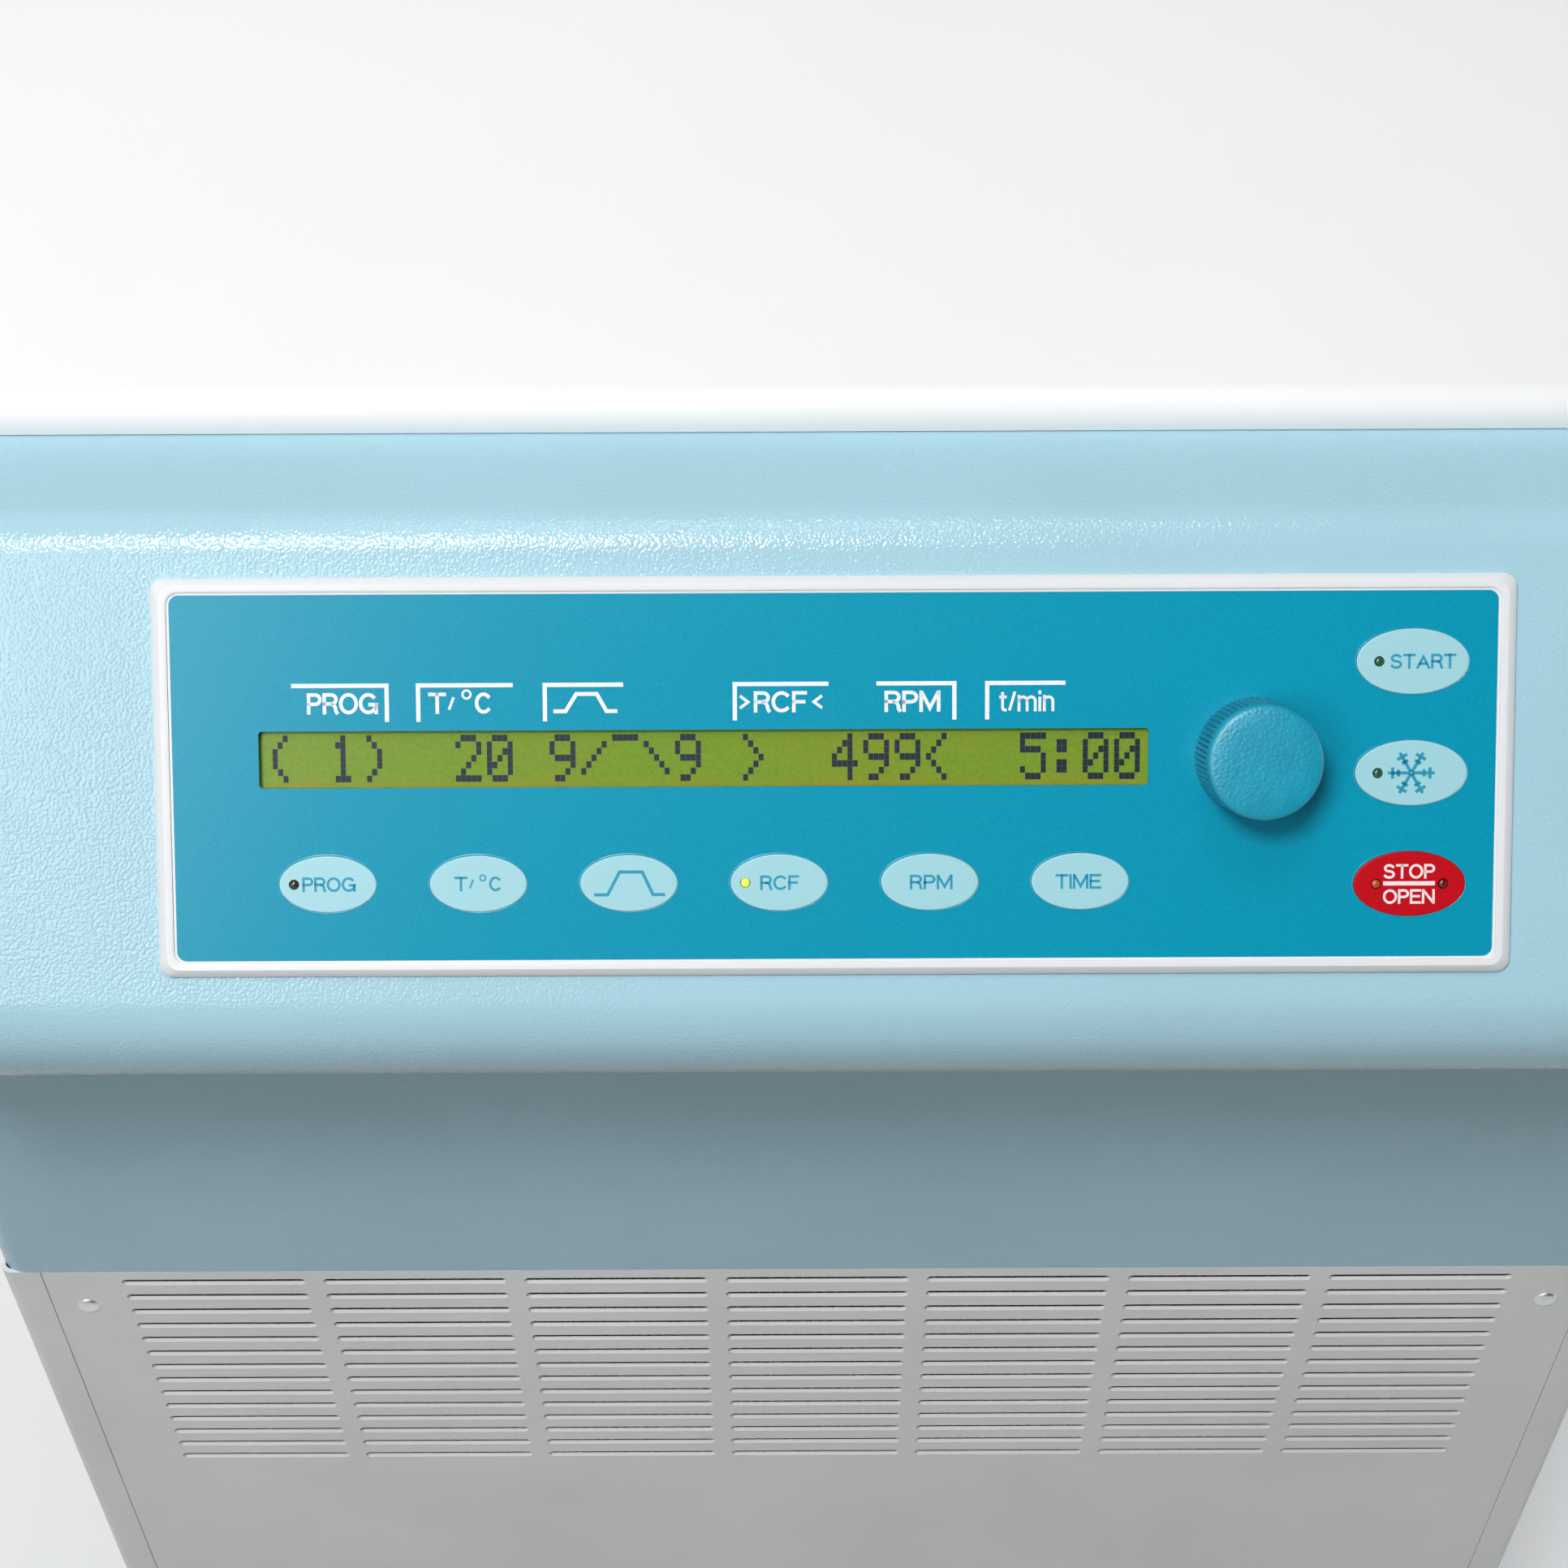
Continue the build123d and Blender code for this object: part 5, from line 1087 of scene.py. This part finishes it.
def display_cell():
    """Backlit yellow green cell, warmer along its lower edge and in soft patches."""
    finish = Finish("lcd_cell", LCD_GREEN, 0.25, 0.0, 0.25)
    up = finish.add("ShaderNodeSeparateXYZ", {"Vector": on_panel(finish)}, "Y")
    low_edge = finish.span(up, TEXT_TOP_V - 14.9 * MM, TEXT_TOP_V - 10.9 * MM, 0.55, 0.0)
    patches = finish.span(finish.noise(22, 2), 0.45, 0.75, 0.0, 0.4)
    green = finish.blend(finish.noise(1.0, 2), shade(LCD_GREEN, 0.93), shade(LCD_GREEN, 1.07))
    warm = finish.math("ADD", low_edge, patches)
    finish.feed("Base Color", finish.between(warm, green, (*LCD_AMBER, 1)))
    finish.relief(finish.noise(40, 2), 0.05, 0.2)
    return finish.material


cell_low, cell_high = panel_box("display_window")
CELL_TOP = 0.0002
CELL_ROUND = 0.0003
cell_half = (cell_high - cell_low) / 2
cell_rings = [[(u, v, w) for u, v in rounded_loop(cell_half.x - inset, cell_half.y - inset, 0.0015)]
              for inset, w in ((0.0, cell_low.z), (0.0, CELL_TOP - CELL_ROUND), (CELL_ROUND, CELL_TOP))]
cell_mesh = placed(lofted(cell_rings, "display_cell", caps=True), *((cell_low + cell_high) / 2).xy)
piece_of("display_cell", creased(cell_mesh, radians(35)), "cabinet", "display_clear", display_cell(),
         replaces=("display_window",))

dot_points = []
for place, sign in enumerate(SHOWN):
    for row, line in enumerate(DOTS[sign].split()):
        dot_points += [(TEXT_LEFT_U + place * CELL_PITCH + (column + 0.5) * DOT_PITCH_U,
                        TEXT_TOP_V - (row + 0.5) * DOT_PITCH_V, CELL_TOP + 0.00002)
                       for column, mark in enumerate(line) if mark == "1"]
dot = Growth("lcd_dots", **{"Dot size": "Vector"})
dot_tree = dot.scatter(dot.add("GeometryNodeMeshCube", {"Size": dot.given["Dot size"]}))
dot_size = (DOT_PITCH_U - DOT_GAP, DOT_PITCH_V - DOT_GAP, 0.00004)
grown("display_dots", dot_tree, dot_points, {"Dot size": dot_size, "Finish": ink("lcd_dot", DOT_INK)},
      "cabinet", "display_case", PANEL)
smoothed("display_module", coated("display_case", (0.03, 0.03, 0.032), 0.5, 1.5, 0.02), "display_case")


def circuit_board():
    """Green solder resist, with paler tracks between small fields."""
    finish = Finish("circuit_board", (0.01, 0.16, 0.05), 0.35)
    fields = finish.add("ShaderNodeTexVoronoi", {"Vector": finish.place, "Scale": 260},
                        feature="DISTANCE_TO_EDGE", distance="EUCLIDEAN")
    finish.feed("Base Color", finish.blend(fields, (0.02, 0.28, 0.09), (0.01, 0.15, 0.05), 0.02, 0.05))
    finish.relief(finish.noise(3, 2), 0.02)
    return finish.material


smoothed("control_board", circuit_board(), "board_green")
smoothed("knob_encoder", bare_metal("encoder_can", (0.62, 0.62, 0.60), 0.32), "encoder_metal")


# ---------------------------------------------------------------- keys and lamps
# Each key is an elliptical button moulded in pale aqua or red plastic, slightly domed at its rim, and
# travels 0.6 mm. Six small coloured lamps show through five of them.

KEY_AQUA = (0.33, 0.62, 0.69)
KEY_RED = (0.50, 0.003, 0.010)
LEGEND_V = 3.9

aqua_plastic = smooth_moulding("aqua_key_moulding", KEY_AQUA, 0.38)
red_plastic = smooth_moulding("red_key_moulding", KEY_RED, 0.30, 0.2)
# The film is embossed to a narrow raised edge round each key: way out from the key and height, in mm.
KEY_EDGE = [(0.03, -0.40), (0.03, 0.02), (0.08, 0.08), (0.28, 0.09), (0.42, 0.05), (0.46, -0.40)]
EDGE_TURN = [radians(4 * i) for i in range(90)]
key_places, key_edges = {}, []
for key in ("program", "temperature", "ramp", "rcf", "speed", "time", "start", "cooling", "stop"):
    low, high = panel_box(f"{key}_key")
    middle, half = (low + high) / 2, (high - low) / 2
    key_places[key] = (middle.x / MM, middle.y / MM, high.z)
    plastic, slot = (red_plastic, "key_red") if key == "stop" else (aqua_plastic, "key_aqua")
    smoothed(f"{key}_key", plastic, slot, radians(40))
    edge_rings = [[(middle.x + (half.x + away * MM) * cos(a), middle.y + (half.y + away * MM) * sin(a),
                    film_top + height * MM) for a in EDGE_TURN] for away, height in KEY_EDGE]
    key_edges.append(lofted(edge_rings, "key_edge", wrap=True))
piece_of("key_edges", creased(placed(joined(*key_edges, one_finish=True)), radians(50)), "cabinet",
         "keypad_blue", smooth_moulding("blue_film_edge", FILM_BLUE, 0.26))


def key_print(key, meshes, finish=blue_ink):
    slot = "key_red" if key == "stop" else "key_aqua"
    printed(f"{key}_legend", meshes, key_places[key][2], body_of_node(f"{key}_key"), slot, finish)


def around(key, half_width, shift=0.0):
    """Range along the panel for a legend on a key."""
    u = key_places[key][0] + shift
    return (u - half_width, u + half_width)


def cap_range(key, shift=0.0, height=LEGEND_V):
    v = key_places[key][1] + shift
    return (v - height / 2, v + height / 2)


key_print("program", word("PROG", around("program", 7.0, 0.3), cap_range("program")))
key_print("temperature", temperature_sign(around("temperature", 6.2, -0.1), cap_range("temperature")))
key_print("ramp", ramp_sign(around("ramp", 9.3, 0.2), cap_range("ramp", 0.0, 6.0), 0.85))
key_print("rcf", word("RCF", around("rcf", 5.1, 0.1), cap_range("rcf")))
key_print("speed", word("RPM", around("speed", 5.6, 0.4), cap_range("speed")))
key_print("time", word("TIME", around("time", 6.0, -0.5), cap_range("time")))
key_print("start", word("START", around("start", 8.6, 2.6), cap_range("start")))
stop_u = around("stop", 6.8, -0.1)
stop_v = key_places["stop"][1]
key_print("stop", [*word("STOP", stop_u, (stop_v + 1.35, stop_v + 5.2)),
                   stroke([(stop_u[0], stop_v + 0.1), (stop_u[1], stop_v + 0.1)], 1.1),
                   *word("OPEN", stop_u, (stop_v - 5.3, stop_v - 1.45))], pale_ink)


def snowflake(u, v, reach, width):
    """Six arms, each with a cross near its tip and a short bar nearer the middle."""
    strokes = []
    for i in range(6):
        way = Vector((cos(i * pi / 3), sin(i * pi / 3)))
        side = Vector((-way.y, way.x))
        middle = Vector((u, v))
        strokes.append(stroke([middle + way * 0.2, middle + way * reach], width))
        for share, half in ((0.80, 0.24), (0.55, 0.15)):
            knot = middle + way * reach * share
            strokes.append(stroke([knot + side * reach * half, knot - side * reach * half], width))
    return strokes


key_print("cooling", snowflake(*key_places["cooling"][:2], 6.1, 0.85))

LAMP_R = 1.12 * MM
LAMP_H = 0.55 * MM
# Which key a lamp sits on, how far along it, and its colour.
LAMPS = {"program": ("program", -8.9, (0.035, 0.030, 0.012)), "rcf": ("rcf", -8.9, (0.62, 0.78, 0.06)),
         "start": ("start", -8.8, (0.012, 0.10, 0.04)), "cooling": ("cooling", -8.8, (0.012, 0.10, 0.04)),
         "stop_left": ("stop", -8.8, (0.50, 0.09, 0.01)), "stop_right": ("stop", 8.8, (0.14, 0.004, 0.006))}
lamp_dome = [(0.0, -0.002), (LAMP_R, -0.002), (LAMP_R, 0.0)]
lamp_dome += [(LAMP_R * cos(radians(d)), LAMP_H * sin(radians(d))) for d in (18, 36, 54, 72)]
lamp_dome += [(0.0, LAMP_H)]
for lamp_name, (key, offset, colour) in LAMPS.items():
    lens = finished(f"lens_{lamp_name}", colour, 0.12, (0.8, 2), (0.8, 1), specular=0.6)
    if lamp_name == "rcf":
        lit = lens.node_tree.nodes["Principled BSDF"].inputs
        lit["Emission Color"].default_value = (0.75, 0.85, 0.10, 1)
        lit["Emission Strength"].default_value = 0.5
    u, v, w = key_places[key]
    lens_mesh = placed(spun(lamp_dome, 28, (0, 0, 0)), (u + offset) * MM, v * MM, w - 0.05 * MM)
    piece_of(f"lamp_{lamp_name}", lens_mesh, "cabinet", "lamp", lens,
             replaces=("indicator_lamps",) if lamp_name == "program" else ())


# ---------------------------------------------------------------- control knob
# The knob is moulded in the film's blue, with fine ribs round its side, a smooth shoulder and a
# grained, slightly domed top. It is pressed on the encoder's shaft.

KNOB_BLUE = (0.0, 0.275, 0.415)
RIBS = 66
RIB_DEPTH = 0.75 * MM
SAMPLES = 6
knob_low, knob_high = panel_box("control_knob")
knob_u, knob_v = (knob_low[0] + knob_high[0]) / 2, (knob_low[1] + knob_high[1]) / 2
knob_r = (knob_high[0] - knob_low[0]) / 2
KNOB_BASE = film_top + 0.4 * MM
knob_h = knob_high[2] - KNOB_BASE
# Share of the radius, share of the height, and how deep the ribs are cut there.
knob_profile = [(0.0, 0.0, 0), (0.90, 0.0, 0), (0.985, 0.0, 0.4), (1.0, 0.02, 1), (0.998, 0.3, 1),
                (0.990, 0.55, 1), (0.982, 0.76, 1), (0.978, 0.83, 0.8), (0.974, 0.86, 0.15),
                (0.970, 0.885, 0), (0.960, 0.93, 0), (0.940, 0.958, 0), (0.91, 0.974, 0), (0.86, 0.984, 0),
                (0.60, 0.993, 0), (0.30, 0.998, 0), (0.0, 1.0, 0)]
knob_rings = []
for share, rise, cut in knob_profile:
    ring = []
    for i in range(RIBS * SAMPLES):
        angle = 2 * pi * i / (RIBS * SAMPLES)
        radius = share * knob_r - cut * RIB_DEPTH * (0.5 - 0.5 * cos(RIBS * angle)) ** 1.5
        ring.append((radius * cos(angle), radius * sin(angle), rise * knob_h))
    knob_rings.append(ring)
knob_mesh = placed(lofted(knob_rings, "ribbed_knob"), knob_u, knob_v, KNOB_BASE)
knob_plastic = finished("blue_knob_moulding", KNOB_BLUE, 0.38, (6, 3), (0.95, 1.06), (),
                        [(0.9, 0.5, 0.09, 1)], [(2.0, 2, 0.05, 0.8)], specular=0.60)
piece_of("ribbed_knob", creased(knob_mesh, radians(60)), "knob", "knob_blue", knob_plastic,
         replaces=("control_knob",))


# ---------------------------------------------------------------- mains inlet and switch
# A moulded mains inlet with three flat pins and a rocker switch sits low in the rear sheet, held by two
# screws. Its flange and the rocker are black nylon.

smoothed("mains_inlet", black_nylon, "inlet_black")
smoothed("mains_switch", coated("rocker_nylon", (0.028, 0.028, 0.030), 0.32, 1.0, 0.01), "inlet_black")
